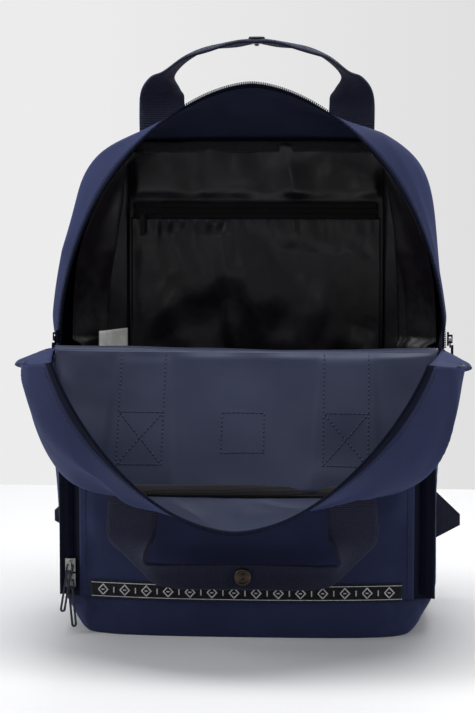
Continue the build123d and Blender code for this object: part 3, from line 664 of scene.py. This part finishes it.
def lidGussetPoint(u, v):
    start = mix(seamAngle, rimAngle, v)
    angle = mix(start, 180 - start, u)
    side = 1 if angle < 90 else -1
    ax, az = archPoint(angle)
    ox, oz = outlinePoint(ax, az)
    ax -= side * lid["draw"] * bump(abs(angle - 90), 45, 24)  # the open rim hangs a little narrower
    x, z, y = mix(ox, ax, v), mix(oz, az, v), -mix(halfDepth, 1.6, v)
    ends = 1 - smooth(4, 46, min(angle, 180 - angle) - start)
    corner = bump(abs(angle - 90), 44, 17)
    ear = lid["ear"] * ends * hump(min(1, 0.08 + 0.92 * v)) ** 0.8
    puff = (4.0 + 3.0 * corner) * hump(v)
    away = Vector((x, z - zipEnd)).normalized()
    return opened(x + away.x * puff + side * ear, y, z + away.y * puff)


def lidGussetRelief(u, v):
    hold = hump(v)
    folds = 4.4 * wave(u * 6, v * 1.4, 0, 61) + 3.2 * crease(u * 6 + v, v * 1.2, 0, 67)
    folds += 4.0 * bump(u, 0.74, 0.035) * smooth(0.1, 0.5, v) - 3.0 * bump(u, 0.80, 0.03)
    return hold * folds


lidGusset = cloth("flapGusset", (190, 34), lambda u, v: lidGussetPoint(u, v * hem), (560, 78), canvas, "flap",
                  lidGussetRelief, inside=coated, flip=True)
standsFor(lidGusset, "shell_fabric", "flap_gusset")

flapTurn = Matrix.Rotation(math.radians(openAngle), 3, "X")


def lidNormal(p):
    closed = flapTurn.transposed() @ (Vector(p) - Vector((0, foldY, foldZ)))
    return flapTurn @ Vector((closed.x, 0, closed.z + foldZ - zipEnd + 6)).normalized()


lidEdge = edgeRun(lambda t: lidGussetPoint(t, 1))
rimOut = flapTurn @ Vector((0, 1, 0))
zipAlong("flapZip", [p + rimOut * 0.6 for p in lidEdge], lidNormal, "flap", "flap_zip_teeth")


def lidTapePlace(u, v):
    p = Vector(lidGussetPoint(u, mix(hem - 0.03, 1.0, v)))
    return p - lidNormal(p) * 0.9 + rimOut * 0.6 * v


lidTape = cloth("flapZipTape", (190, 4), lidTapePlace, (560, 10), zipTape, "flap", thick=0.9, offset=0)
standsFor(lidTape, "zip_tape", "flap_zip_tape")


def lidBindingPlace(u, v):
    angle = mix(48, 132, u)
    ox, oz = outlinePoint(*archPoint(angle))
    inset = mix(0.8, 10.5, v)
    away = Vector((ox, oz - zipEnd)).normalized()
    sag = 1.3 * wave(u * 9, 0, 0, 71)
    return opened(ox - away.x * inset, -halfDepth + 1.6 + 1.2 * hump(v) + sag, oz - away.y * inset)


lidBinding = cloth("flapSeamBinding", (190, 6), lidBindingPlace, (560, 10), binding, "flap", thick=0.9, offset=0)
standsFor(lidBinding, "binding", "flap_seam_binding")
print("flap")


# fold strip over the front edge, joined to bag and flap
def foldPlace(u, v):
    x = mix(-halfWidth - 1, halfWidth + 1, u)
    start = Vector((-halfDepth + 3.5, 197))
    ridgeZ = 224.5 + 1.2 * wave(x * 0.02, 0, 0, 81) - 1.5 * bump(x, 30, 60)
    end = Vector(onLid(x, lid["low"])[1:])
    top = Vector((-halfDepth - 6.5, ridgeZ + 2.0))
    if v < 0.5:
        t = v / 0.5
        p = start * (1 - t) ** 2 + Vector((-halfDepth + 3.0, ridgeZ + 1)) * 2 * t * (1 - t) + top * t * t
    else:
        t = (v - 0.5) / 0.5
        p = top * (1 - t) ** 2 + Vector((end.x + 4.5, ridgeZ + 3.0)) * 2 * t * (1 - t) + end * t * t
    return x, p.x, p.y


foldPiece = cloth("foldStrip", (150, 24), foldPlace, (294, 50), coated, None, inside=canvas, flip=True)
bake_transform(foldPiece)


def earPlace(side):
    def place(u, v):  # u: bag side seam to flap, v: body edge to zip edge
        y = mix(0.5, -68, v)
        bag = Vector((side * wallX(y, zipEnd - 0.5, side), y, zipEnd - 0.5))
        rim = Vector(lidGussetPoint(0 if side > 0 else 1, 1 - v))
        front = bag.lerp(rim, u)
        loose = hump(u) ** 0.8
        tip = Vector((side * (2 + 13 * hump(min(1, 0.9 * v))), 0, 2.5 - 15 * v ** 1.3))
        return front + tip * loose
    return place


for side, name in ((1, "earRight"), (-1, "earLeft")):
    ear = cloth(name, (50, 24), earPlace(side), (110, 82), canvas, None,
                lambda u, v: 1.4 * wave(u * 4, v * 3, 0, 91) * hump(u), inside=coated, flip=side < 0)
    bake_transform(ear)
print("fold")

# linings
lining = {"backY": 60.0, "low": 29.0, "high": 374.0, "backHalf": 106.0}


def liningSide(side):
    tuck = 9.0 if side < 0 else 5.0

    def place(u, v):
        z = mix(lining["low"], lining["high"], v)
        ax, az = archPoint(archAngle(max(z, zipEnd)))
        ox, oz = outlinePoint(ax, az) if z > zipEnd + 1 else (halfWidth, z)
        share = mix(0.60, 0.90, smooth(238, 330, z))
        front = max(min(mix(ox, ax, share) - 2.5, 142 if z < zipEnd else 160), 72)
        back = min(lining["backHalf"], ox - 8)
        gap = tuck * (bump(u, 0.16, 0.09) - 0.75 * bump(u, 0.42, 0.14) * smooth(262, 300, z)) * smooth(370, 330, z)
        x = mix(back, front, u) + gap
        return side * x, mix(lining["backY"], mix(halfDepth, 1.6, share), u), z

    def relief(u, v):
        inner = fade(0.08, u)
        return inner * (1.6 * wave(u * 1.6, v * 2.6, 0, 101 + side) + 1.5 * crease(u * 1.6, v * 1.1, 0, 103 + side))

    piece = cloth("lining" + hand(side).title(), (46, 90), place, (65, 345), satin, "bag", relief,
                  flip=side > 0, thick=0.8)
    standsFor(piece, "lining_satin", "lining_" + hand(side))


liningSide(1)
liningSide(-1)


def liningBackPlace(u, v):
    x, z = mix(-lining["backHalf"], lining["backHalf"], u), mix(lining["low"], 380, v)
    return x, lining["backY"] + 0.5, z


def satinFolds(u, v):
    edge = fade(0.04, u)
    long = crease(u * 2.6 + v * 0.6, v * 1.4, 0, 111)
    folds = max(-0.2, 2.6 + 4.0 * wave(u * 4.0, v * 9, 0, 113) + 3.0 * long + 3.0 * wave(u * 9, v * 16, 0, 117))
    return edge * mix(0.12, 1, smooth(333, 342, mix(lining["low"], 380, v))) * folds  # flatter behind the zip


liningBack = cloth("liningBack", (110, 120), liningBackPlace, (212, 350), satin, "bag", satinFolds, thick=0.8)
standsFor(liningBack, "lining_satin", "lining_back")

innerZip = {"z": 325.5, "half": 101.0, "y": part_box("inner_pocket_panel")[0].y / mm - 1.2}


def innerPocketPlace(u, v):
    x, z = mix(-innerZip["half"] - 2, innerZip["half"] + 2, u), mix(90, innerZip["z"] - 5.5, v)
    return x, innerZip["y"] + 0.6, z


def innerPocketRelief(u, v):
    edge = fade(0.05, u)
    gather = smooth(0.90, 0.985, v) * smooth(1.0, 0.985, v) * 1.2 * math.sin(u * 120 + 5 * wave(u * 12, 0, 0, 7))
    gather *= 0.5 + 0.5 * wave(u * 9, 1.3, 0, 9)
    folds = 3.6 * crease(u * 1.5 - v * 0.5, v * 0.75, 0, 121) + 2.6 * wave(u * 1.8, v * 2.4, 0, 123)
    folds += 6.5 * wave(u * 4.5 + v * 1.5, v * 3.5, 0, 125) + 3.2 * wave(u * 10, v * 8, 0, 126)
    folds += 3.2 * bump(u, mix(0.47, 0.36, v), 0.016 + 0.02 * v) * smooth(0.25, 0.6, v)
    return edge * smooth(1.0, 0.93, v) * max(-1.5, folds) + edge * gather * 0.9


innerPocket = cloth("innerPocket", (130, 110), innerPocketPlace, (206, 230), satin, "bag", innerPocketRelief,
                    thick=0.8)
standsFor(innerPocket, "lining_satin", "inner_pocket_panel")


def innerTape(name, low, high):
    half, z = innerZip["half"], innerZip["z"]
    tape = cloth(name, (60, 4), lambda u, v: (mix(-half, half, u), innerZip["y"] - 0.9, mix(z + low, z + high, v)),
                 (2 * half, (z + high) - (z + low)), blackTape, "bag", thick=0.7)


innerTape("innerZipTapeLow", -6.5, -2.0)
innerTape("innerZipTapeHigh", 2.0, 6.5)


def closedChain(name, path, normal, body, replaced=None, material=coilNavy):
    path = [Vector(p) * mm for p in path]
    bm = bmesh.new()
    for centre, along in alongPath(path, chain["pitch"] * mm):
        across = normal.cross(along).normalized()
        for row in (-1, 1):
            spot = centre + across * row * chain["apart"] * mm + along * row * chain["stagger"] * chain["pitch"] * mm
            slant = (along + across * chain["slant"] * row).normalized()
            addBar(bm, spot, slant, normal, *(chain[side] * mm for side in ("length", "width", "height")))
    whole = path[-1] - path[0]
    addBar(bm, (path[-1] + path[0]) / 2 - normal * chain["coreDepth"] * mm, whole.normalized(), normal,
           whole.length, chain["coreWidth"] * mm, chain["coreHeight"] * mm)
    piece = newPiece(name, meshOf(name, bm), material, body)
    for face in piece.data.polygons:
        face.use_smooth = False
    if replaced:
        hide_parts(replaced)


closedChain("innerChain", [(-innerZip["half"], innerZip["y"] - 1.0, innerZip["z"]),
                           (innerZip["half"], innerZip["y"] - 1.0, innerZip["z"])], Vector((0, -1, 0)), "bag",
            replaced="inner_pocket_zip", material=coilBlack)

floorLining = cloth("floorLining", (60, 36), lambda u, v: (mix(-128, 128, u), mix(-55, 58, v), 7.2), (256, 113),
                    satin, "bag", lambda u, v: 1.0 * wave(u * 5, v * 3, 0, 131), thick=0.8)
standsFor(floorLining, "lining_satin", "lining_floor")

topBinding = cloth("topSeamBinding", (120, 5),
                   lambda u, v: (mix(-108, 108, u), lining["backY"] - 3.5 - 1.4 * hump(v)
                                 + 1.6 * wave(u * 9, 0, 0, 141), mix(373.5, 382.5, v) + 1.2 * wave(u * 7, 0, 0, 143)),
                   (216, 9), binding, "bag", thick=1.0)
standsFor(topBinding, "binding", "top_seam_binding")
print("linings")

# back panel
back = {"bend": 300, "straight": 0.62, "out": 1.0}


def backPlace(u, v):
    x0 = mix(-halfWidth, halfWidth, u)
    x1, z1 = outlinePoint(*archPoint(mix(180 - panelEnd, panelEnd, u)))
    if v < back["straight"]:
        return x0, halfDepth + back["out"], mix(bootTop - 1, back["bend"], v / back["straight"])
    t = (v - back["straight"]) / (1 - back["straight"])
    return mix(x0, x1, t), halfDepth + back["out"], mix(back["bend"], z1, t)


def backRelief(u, v):
    edge = fade(0.06, u) * fade(0.05, v)
    return edge * (2.6 + 0.7 * wave(u * 4, v * 5, 0, 151))


def backFlat(u, v):
    x, y, z = backPlace(u, v)
    return x * mm, z * mm


backPiece = cloth("backPanel", (100, 120), backPlace, backFlat, canvas, "bag", backRelief, flip=True, inside=satin)
standsFor(backPiece, "shell_fabric", "back_outer")
print("back")


# webbing loops
def spline(stations, t):
    span = t * (len(stations) - 1)
    i = min(int(span), len(stations) - 2)
    f = span - i
    p = [stations[max(0, min(len(stations) - 1, i + k))] for k in (-1, 0, 1, 2)]

    def blend(a, b, c, d):
        return 0.5 * ((2 * b) + (c - a) * f + (2 * a - 5 * b + 4 * c - d) * f * f + (3 * b - a - 3 * c + d) * f ** 3)

    return [blend(*(Vector(q[k]) if isinstance(q[k], tuple) else q[k] for q in p)) for k in range(len(p[0]))]


def ribbonLoop(name, stations, cells, material, thick=2.0, seed=0, width=38):
    length = sum((spline(stations, (i + 1) / 200)[0] - spline(stations, i / 200)[0]).length for i in range(200))

    def place(u, v):
        centre, across, normal, wide, cup = spline(stations, v)
        across, normal = across.normalized(), normal.normalized()
        s = 2 * u - 1
        return centre + across * (s * wide / 2) + normal * (cup * (1 - s * s))

    return cloth(name, cells, place, (width, length), material, None,
                 lambda u, v: 0.25 * wave(u * 2, v * 30, 0, seed), thick=thick, offset=0), length


def onSide(stations, side):
    return [((side * c[0], c[1], c[2]), (side * a[0], a[1], a[2]), (side * n[0], n[1], n[2]), w, k)
            for c, a, n, w, k in stations]


def mirrorStations(half):
    return half + onSide(half[-2::-1], -1)


handle = {"x": 78.0, "width": 38.0, "grip": 20.5}
frontPivot = Vector(joints["front_handle_swing"]["pos_m"]) / mm
lidFace = tuple(flapTurn @ Vector((0, -1, 0)))
hx, wide = handle["x"], handle["width"]
fy, fz = frontPivot.y, frontPivot.z
frontStations = mirrorStations([
    (onLid(hx, lid["low"] + 4, 3.4), (1, 0, 0), lidFace, wide, 0.0),
    (onLid(hx, 300, 3.4), (1, 0, 0), lidFace, wide, 0.0),
    (onLid(hx, 335, 3.4), (1, 0, 0), lidFace, wide, 0.0),
    ((hx, fy + 0.8, fz + 2), (1, 0, 0), (0, 0.6, -0.4), wide, 0.0),
    ((hx + 3, fy - 1.0, fz - 16), (1, 0, 0), (0, 1, -0.1), wide, 0.0),
    ((hx + 5.5, fy - 0.5, fz - 36), (1, 0, 0), (0, 1, 0), wide, 0.4),
    ((hx + 6, fy + 1.0, fz - 53), (1, 0.1, -0.1), (-0.1, 1, 0), wide, 1.0),
    ((hx + 4, fy + 3.0, fz - 66), (0.72, 0.75, -0.25), (-0.5, 0.8, 0.3), wide - 7, 2.0),
    ((hx - 2, fy + 6.0, fz - 79), (0.22, 0.9, -0.42), (-0.6, 0.5, 0.5), wide - 15, 2.5),
    ((hx - 14, fy + 8.0, fz - 85.5), (0.06, 0.42, -0.95), (-0.2, 1, 0.4), handle["grip"] - 1, 2.8),
    ((hx - 30, fy + 10.0, fz - 87), (0.02, 0.1, -1), (0, 1, 0.1), handle["grip"] - 1, 2.6),
    ((hx - 54, fy + 11.0, fz - 87), (0, -0.06, -1), (0, 1, 0), handle["grip"] - 1.5, 2.6),
    ((0, fy + 12.0, fz - 87), (0, 0, -1), (0, 1, 0), handle["grip"] - 1, 2.6),
])
frontLoop, frontLength = ribbonLoop("frontHandle", frontStations, (10, 240), webbing, 2.2, seed=161)
standsFor(frontLoop, "webbing", "front_handle", "flap_webbing_right", "flap_webbing_left")
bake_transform(frontLoop)
frontLength * mm

ry, rearTop = 73.4, 463.5
rearStations = mirrorStations([
    ((hx, ry, 312), (1, 0, 0), (0, 1, 0), wide, 0.0),
    ((hx, ry, 345), (1, 0, 0), (0, 1, 0), wide, 0.0),
    ((hx, ry, 372), (1, 0, 0), (0, 1, 0), wide, 0.0),
    ((hx + 0.5, ry, 400), (1, 0, 0), (0, 1, 0), wide, 0.3),
    ((hx + 0.5, ry, 417), (1, -0.15, 0.05), (0.15, 1, 0), wide - 1, 1.0),
    ((hx - 1.5, ry, 429), (0.66, -0.72, 0.25), (0.6, 0.8, 0.1), wide - 3, 1.5),
    ((hx - 5, ry, 437.5), (0.18, -0.98, 0.1), (0.85, 0.1, 0.45), 31.0, 1.5),
    ((hx - 19, ry, 449.5), (0, -1, 0.06), (0.6, 0, 0.8), 25.0, 1.8),
    ((hx - 37, ry, 457), (0, -1, -0.10), (0.3, 0, 1), 24.0, 2.0),
    ((hx - 62, ry, 462), (0, -1, 0.10), (0.1, 0, 1), 24.0, 2.0),
    ((0, ry, rearTop), (0, -1, 0), (0, 0, 1), 24.0, 2.0),
])
rearLoop, rearLength = ribbonLoop("rearHandle", rearStations, (10, 240), webbing, 2.2, seed=163)
standsFor(rearLoop, "webbing", "rear_handle", "rear_handle_anchors")
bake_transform(rearLoop)
rearLength * mm
print("handles", round(frontLength), round(rearLength))


# pocket zips at the two front edges
def pocketZip(side):
    name = hand(side).title()

    def place(u, v):
        x, z = mix(129.5, halfWidth + 0.3, u), mix(bootTop - 1, 207, v)
        y = mix(pocketEdgeY(129.5, z) + 0.9, -68.7, u) + 2.4 * hump(u)
        return side * x, y, z

    strip = cloth("pocketZipTape" + name, (10, 40), place, (18, 176), zipTape, "bag", flip=side < 0, thick=0.9)
    standsFor(strip, "zip_tape", "pocket_zip_" + hand(side))
    closedChain("pocketChain" + name, [(side * 138.5, -69.7, z) for z in range(33, 204, 10)], Vector((0, -1, 0)),
                "bag")


pocketZip(1)
pocketZip(-1)

# ribbon across the pocket seam, with a plain diamond pattern
ribbon = {"half": 122.0, "low": 28.5, "high": 42.3, "repeat": 17.2, "across": 3.7, "tall": 4.1}
ribbonMid = (ribbon["low"] + ribbon["high"]) / 2


def ribbonPlace(u, v):
    x, z = mix(-ribbon["half"], ribbon["half"], u), mix(ribbon["low"], ribbon["high"], v)
    return x, pocketEdgeY(x, max(z, bootTop)) - 1.5 - 0.5 * hump(v), z


ribbonPiece = cloth("ribbonBand", (120, 6), ribbonPlace, (244, 13.8), ribbonBlack, "bag", thick=1.2)
standsFor(ribbonPiece, "ribbon", "ribbon_band")


def onRibbon(x, z):
    return x, pocketEdgeY(x, max(z, bootTop)) - 2, z


borders = [[onRibbon(x, z) for x in range(-121, 122, 11)] for z in (ribbon["low"] + 1.5, ribbon["high"] - 1.5)]
sew("ribbonBorders", ribbonPiece, borders, "bag", 2.0, 2.15, 0.55, material=silver)
motifs = []
for i in range(14):
    x, w, h = (i - 6.5) * ribbon["repeat"], ribbon["across"], ribbon["tall"]
    ring = [(x - w, 0), (x, h), (x + w, 0), (x, -h), (x - w, 0)]
    motifs.append([onRibbon(px, ribbonMid + pz) for px, pz in ring])
    motifs.append([onRibbon(x - 1.1, ribbonMid), onRibbon(x + 1.1, ribbonMid)])
    if i < 13:
        motifs.append([onRibbon(x + 8.6, ribbonMid - 2.2), onRibbon(x + 8.6, ribbonMid + 2.2)])
sew("ribbonMotifs", ribbonPiece, motifs, "bag", 1.05, 1.25, 0.95, material=silver, lift=0.2)
patch = cloth("flapPatch", (16, 16), lambda u, v: onLid(mix(-17, 17, u), mix(topSeam - 69, topSeam - 35, v), 2.6),
              (34, 34), canvas, "flap", lambda u, v: 0.5 * wave(u * 4, v * 4), thick=1.4)
standsFor(patch, "patch", "flap_patch")
print("pocket zips and ribbon")


# press studs
def turned(name, profile, centre, axis, material, body, steps=40):
    bm = bmesh.new()
    rise = Vector(axis).normalized()
    out = rise.orthogonal().normalized()
    points = [bm.verts.new(Vector(centre) * mm + (out * r + rise * h) * mm) for r, h in profile]
    edges = [bm.edges.new(pair) for pair in zip(points, points[1:])]
    bmesh.ops.spin(bm, geom=points + edges, cent=Vector(centre) * mm, axis=rise, angle=2 * math.pi, steps=steps)
    bmesh.ops.remove_doubles(bm, verts=bm.verts, dist=0.02 * mm)
    bmesh.ops.recalc_face_normals(bm, faces=bm.faces)
    return newPiece(name, meshOf(name, bm), material, body)


studTop = [(0, 0.1), (1.3, 0.1), (1.7, 0.9), (2.3, 1.15), (2.8, 0.9), (3.1, 0.3), (4.3, 0.4), (4.8, 1.1), (5.6, 1.55),
           (6.4, 1.3), (6.8, 0.6), (6.8, -0.6), (0, -0.6)]
studBack = [(0, 2.6), (1.5, 2.4), (2.0, 1.6), (2.1, 0.7), (4.6, 0.6), (5.2, 0.1), (5.2, -0.5), (0, -0.5)]
gripY, gripZ = fy + 12.0, fz - 87
for name, part, centre, axis, profile, finish in (
        ("frontStud", "front_snap", (0, gripY - 0.8, gripZ), (0, -1, 0), studTop, bronze),
        ("frontStudBack", "front_snap", (0, gripY + 4.0, gripZ), (0, 1, 0), studBack, bronze),
        ("rearStud", "rear_snap", (0, ry, rearTop + 3.2), (0, 0, 1), studTop, gunmetal),
        ("rearStudBack", "rear_snap", (0, ry, rearTop - 0.6), (0, 0, -1), studBack, nickel)):
    stud = turned(name, profile, centre, axis, finish, "front_handle" if part == "front_snap" else "rear_handle")
    standsFor(stud, "snap_metal", part)

# stitching
stitch = {"box": (3.5, 2.4, 0.6), "seam": (3.4, 2.5, 0.5), "inner": (3.2, 2.3, 0.5)}  # pitch, length, width
box = {"top": topSeam - 26, "low": topSeam - 68, "patch": topSeam - 52, "half": 17.0}


def boxPaths(x, turnTo):
    h, low, top = box["half"], box["low"], box["top"]
    corners = [(x - h, low), (x + h, low), (x + h, top), (x - h, top), (x - h, low)]
    lines = [corners, [(x - h, low), (x + h, top)], [(x - h, top), (x + h, low)]]
    return [[turnTo(px, pz) for px, pz in line] for line in lines]


lidPaths = []
for side in (1, -1):
    lidPaths += boxPaths(side * hx, onLid)
    lidPaths += [[onLid(side * hx + dx, z) for z in (lid["low"] + 2, box["low"])]
                 for dx in (-box["half"], box["half"])]
h, mid = box["half"] - 1, box["patch"]
lidPaths.append([onLid(a * h, mid + b * h) for a, b in ((-1, -1), (1, -1), (1, 1), (-1, 1), (-1, -1))])
sew("flapStitches", lidPanel, lidPaths, "flap", *stitch["box"])
outer = [path for side in (1, -1) for path in boxPaths(side * hx, lambda x, z: onLid(x, z, 5.2))]
sew("flapWebbingStitches", frontLoop, outer, "flap", *stitch["box"])
sew("rearGussetStitches", rearGusset, [edgeRun(lambda t: gussetPlace(1 - t, hem - 0.035), 200)],
    "bag", *stitch["seam"])
sew("flapGussetStitches", lidGusset, [edgeRun(lambda t: lidGussetPoint(t, hem - 0.035), 200)],
    "flap", *stitch["seam"])
rearBoxes = [path for side in (1, -1) for path in boxPaths(side * hx, lambda x, z: (x, ry + 2, z - 6))]
sew("rearWebbingStitches", rearLoop, rearBoxes, "bag", *stitch["box"])
sew("innerPocketStitches", innerPocket,
    [[(x, innerZip["y"] - 2, innerZip["z"] - 8) for x in range(-98, 99, 14)]], "bag", *stitch["inner"])
sew("pocketStitches", pocketPiece,
    [[(side * 126.5, pocketEdgeY(126.5, z) - 2, z) for z in range(32, 206, 8)] for side in (1, -1)],
    "bag", *stitch["seam"])
print("stitching")

# straps
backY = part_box("strap_yoke")[1].y / mm
pivotY = joints["strap_lift_right"]["pos_m"][1] / mm
strapTop = joints["strap_lift_right"]["pos_m"][2] / mm
yoke = cloth("strapYoke", (60, 10), lambda u, v: (mix(-75, 75, u), backY + 0.4 + 0.5 * hump(v),
                                                  mix(strapTop - 22, strapTop + 4, v)),
             (150, 26), webbing, "bag", flip=True, thick=1.6)
standsFor(yoke, "webbing", "strap_yoke")
sew("yokeStitches", yoke, [[(x, backY + 2, z) for x in (-72, 72)] for z in (strapTop - 18, strapTop + 1)], "bag")


strapPad = {"shrink": 1.2, "rings": 60, "around": 28, "voxel": 4.5, "pressure": 4.0, "cap": 3.0}


def padMesh(name, side):
    stations = [((44, pivotY, strapTop), 58, 6.5), ((45, pivotY + 4.5, strapTop - 12), 58, 8),
                ((47, pivotY + 13, strapTop - 34), 58, 9), ((53, pivotY + 22, strapTop - 76), 58, 9),
                ((62, pivotY + 24, strapTop - 120), 52, 9), ((70, pivotY + 20, strapTop - 160), 42, 9),
                ((74, pivotY + 13.8, strapTop - 188), 32, 7)]
    bm = bmesh.new()
    rings, across, shrink = [], strapPad["around"], strapPad["shrink"]
    for i in range(strapPad["rings"] + 1):
        t = i / strapPad["rings"]
        centre, width, depth = spline(stations, t)
        ahead, behind = spline(stations, min(1, t + 0.01))[0], spline(stations, max(0, t - 0.01))[0]
        along = (ahead - behind).normalized()
        wide = (Vector((1, 0, 0)) - along * along.x).normalized()
        out = wide.cross(along).normalized()
        ring = []
        for k in range(across):
            a = 2 * math.pi * k / across
            px = math.copysign(abs(math.cos(a)) ** 0.45, math.cos(a)) * (width / 2 - shrink)
            pz = math.copysign(abs(math.sin(a)) ** 0.8, math.sin(a)) * (depth / 2 - shrink * 0.6)
            spot = centre + wide * px + out * pz
            ring.append(bm.verts.new(Vector((side * spot.x, spot.y, spot.z)) * mm))
        rings.append(ring)
    edges = [[bm.edges.new((ring[k], ring[(k + 1) % across])) for k in range(across)] for ring in rings]
    for low, high in zip(edges, edges[1:]):
        bmesh.ops.bridge_loops(bm, edges=low + high)
    bmesh.ops.holes_fill(bm, edges=edges[0] + edges[-1])
    bmesh.ops.recalc_face_normals(bm, faces=bm.faces)
    return meshOf(name, bm)


def inflate(piece, voxel, pressure, cap, frames=20):
    remesh = piece.modifiers.new("remesh", "REMESH")
    remesh.mode, remesh.voxel_size = "VOXEL", voxel * mm
    graph = bpy.context.evaluated_depsgraph_get()
    base = bpy.data.meshes.new_from_object(piece.evaluated_get(graph))
    piece.modifiers.clear()
    piece.data = base
    before = [v.co.copy() for v in base.vertices]
    soft = piece.modifiers.new("cloth", "CLOTH")
    soft.settings.use_pressure, soft.settings.uniform_pressure_force = True, pressure
    soft.settings.effector_weights.gravity = 0
    soft.settings.quality = 5
    for number in range(1, frames + 1):
        scene.frame_set(number)
    graph = bpy.context.evaluated_depsgraph_get()
    after = [v.co.copy() for v in piece.evaluated_get(graph).data.vertices]
    piece.modifiers.clear()
    scene.frame_set(1)
    for vertex, old, new in zip(base.vertices, before, after):
        move = new - old
        if move.length > cap * mm:
            move *= cap * mm / move.length
        vertex.co = old + move
    for face in base.polygons:
        face.use_smooth = True


for side, name in ((1, "right"), (-1, "left")):
    padName = "strapPad" + name.title()
    pad = newPiece(padName, padMesh(padName, side), padCloth)
    inflate(pad, strapPad["voxel"], strapPad["pressure"], strapPad["cap"])
    finer = pad.modifiers.new("finer", "SUBSURF")
    finer.levels = finer.render_levels = 1
    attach(pad, "strap_" + name)
    standsFor(pad, "strap_fabric", "strap_pad_" + name)
print("straps")

# lower straps: webbing from the buckle to its corner tab, the loose tail and the tab itself
lowerStrap = {"width": 25, "thick": 1.6}
tabShape = {"in": 133, "shoulder": 149, "tip": 171, "low": (50, 62), "high": (92, 71), "thick": 1.8}
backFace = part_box("corner_tab_right")[0].y / mm - 0.2
webbingRun = [((83, 92, 85), (1, 0, 0.5), (0, 1, 0), 25, 0), ((99, 91, 73), (0.6, 0, 0.8), (0, 1, 0), 25, 0.3),
              ((127, backFace + 12, 66), (0.1, 0, 1), (0.1, 1, 0), 25, 0.8),
              ((151, backFace + 6, 68), (0, 0, 1), (0.15, 1, 0), 24, 0.4)]
tailRun = [((81, 97, 89), (1, 0, 0.25), (0, 1, 0), 25, 0), ((84, 99.4, 76), (1, 0, 0.17), (0, 1, 0.05), 25, 0.4),
           ((85, 101, 63), (1, 0, 0.1), (0, 1, 0.1), 25, 0.9), ((85.5, 101.4, 45), (1, 0, 0.05), (0, 1, 0), 25, 0.7),
           ((86, 101, 27.5), (1, 0, 0), (0, 1, 0), 25, 0.2)]


def tabPlace(side):
    def place(u, v):
        x = mix(tabShape["in"], tabShape["tip"], u)
        taper = max(0.0, x - tabShape["shoulder"]) / (tabShape["tip"] - tabShape["shoulder"])
        low, high = (mix(a, b, taper) for a, b in (tabShape["low"], tabShape["high"]))
        return side * x, backFace + 1.1 + 0.5 * wave(u * 2, v * 2, side, 181), mix(low, high, v)
    return place


for side, name in ((1, "right"), (-1, "left")):
    strip, reach = ribbonLoop("strapWebbing" + name.title(), onSide(webbingRun, side), (8, 60), narrowWebbing,
                              lowerStrap["thick"], 165, lowerStrap["width"])
    standsFor(strip, "webbing", "strap_webbing_" + name)
    "strap_" + name
    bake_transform(strip)
    reach * mm
    tail, reach = ribbonLoop("strapTail" + name.title(), onSide(tailRun, side), (8, 48), narrowWebbing,
                             lowerStrap["thick"], 167, lowerStrap["width"])
    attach(tail, "tail_" + name)
    standsFor(tail, "webbing", "strap_tail_" + name)
    reach * mm
    tab = cloth("cornerTab" + name.title(), (20, 20), tabPlace(side), (38, 42), webbing, "bag",
                thick=tabShape["thick"], offset=0)
    standsFor(tab, "webbing", "corner_tab_" + name)
    y = backFace + 2.2
    sew("cornerTabStitches" + name.title(), tab,
        [[(side * 137, y, 54), (side * 137, y, 88), (side * 148, y, 88), (side * 165, y, 72)],
         [(side * 137, y, 54), (side * 148, y, 54), (side * 165, y, 63)]], "bag", facing=Vector((0, 1, 0)))
print("lower straps")

# care label, sewn to the left lining by its rear edge and lifting a little at its free edge
labelLow, labelHigh = (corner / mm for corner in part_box("care_label"))
labelCurl = 1.6


def labelPlace(u, v):
    rear, front = Vector((labelHigh.x, labelHigh.y, 0)), Vector((labelLow.x, labelLow.y, 0))
    along = (front - rear).normalized()
    point = rear.lerp(front, u) + Vector((-along.y, along.x, 0)) * (labelCurl * u * u * (0.5 + 0.5 * v))
    return point.x, point.y, mix(labelLow.z, labelHigh.z, v)


careLabel = cloth("careLabel", (14, 16), labelPlace, (36, 42), labelWhite, "care_label", thick=0.4, offset=0)
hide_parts("care_label")

# stage floor
tableEdge = {"half": 4, "near": -4, "far": 0.62}
bm = bmesh.new()
bmesh.ops.create_grid(bm, x_segments=2, y_segments=2, size=1)
for v in bm.verts:
    v.co = (v.co.x * tableEdge["half"], mix(tableEdge["near"], tableEdge["far"], (v.co.y + 1) / 2), 0)
tableTop = Finish("tableWhite", Roughness=0.55)
tableTop.wear("Base Color", tableTop.blendColour(tableTop.cloud(tableTop.objectSpace(), 2.0), (0.80, 0.80, 0.81, 1),
                                                 (0.84, 0.84, 0.85, 1)))
table = newPiece("table", meshOf("table", bm), tableTop.material)

# the hard parts keep their CAD shape
for finish, nodes in ((boardBlack, "base_board"), (foamGrey, "back_foam"),
                      (nickel, "left_upper_slider left_lower_slider right_slider"),
                      (coilNavy, "main_slider_left main_slider_right main_pull_left main_pull_right"),
                      (pullRubber, "left_upper_pull left_lower_pull right_pull"),
                      (coilBlack, "inner_slider inner_pull"), (acetal, "ladder_lock_left ladder_lock_right")):
    for node in nodes.split():
        part = frame["nodes"][node]
        part.data.materials.clear()
        part.data.materials.append(finish)
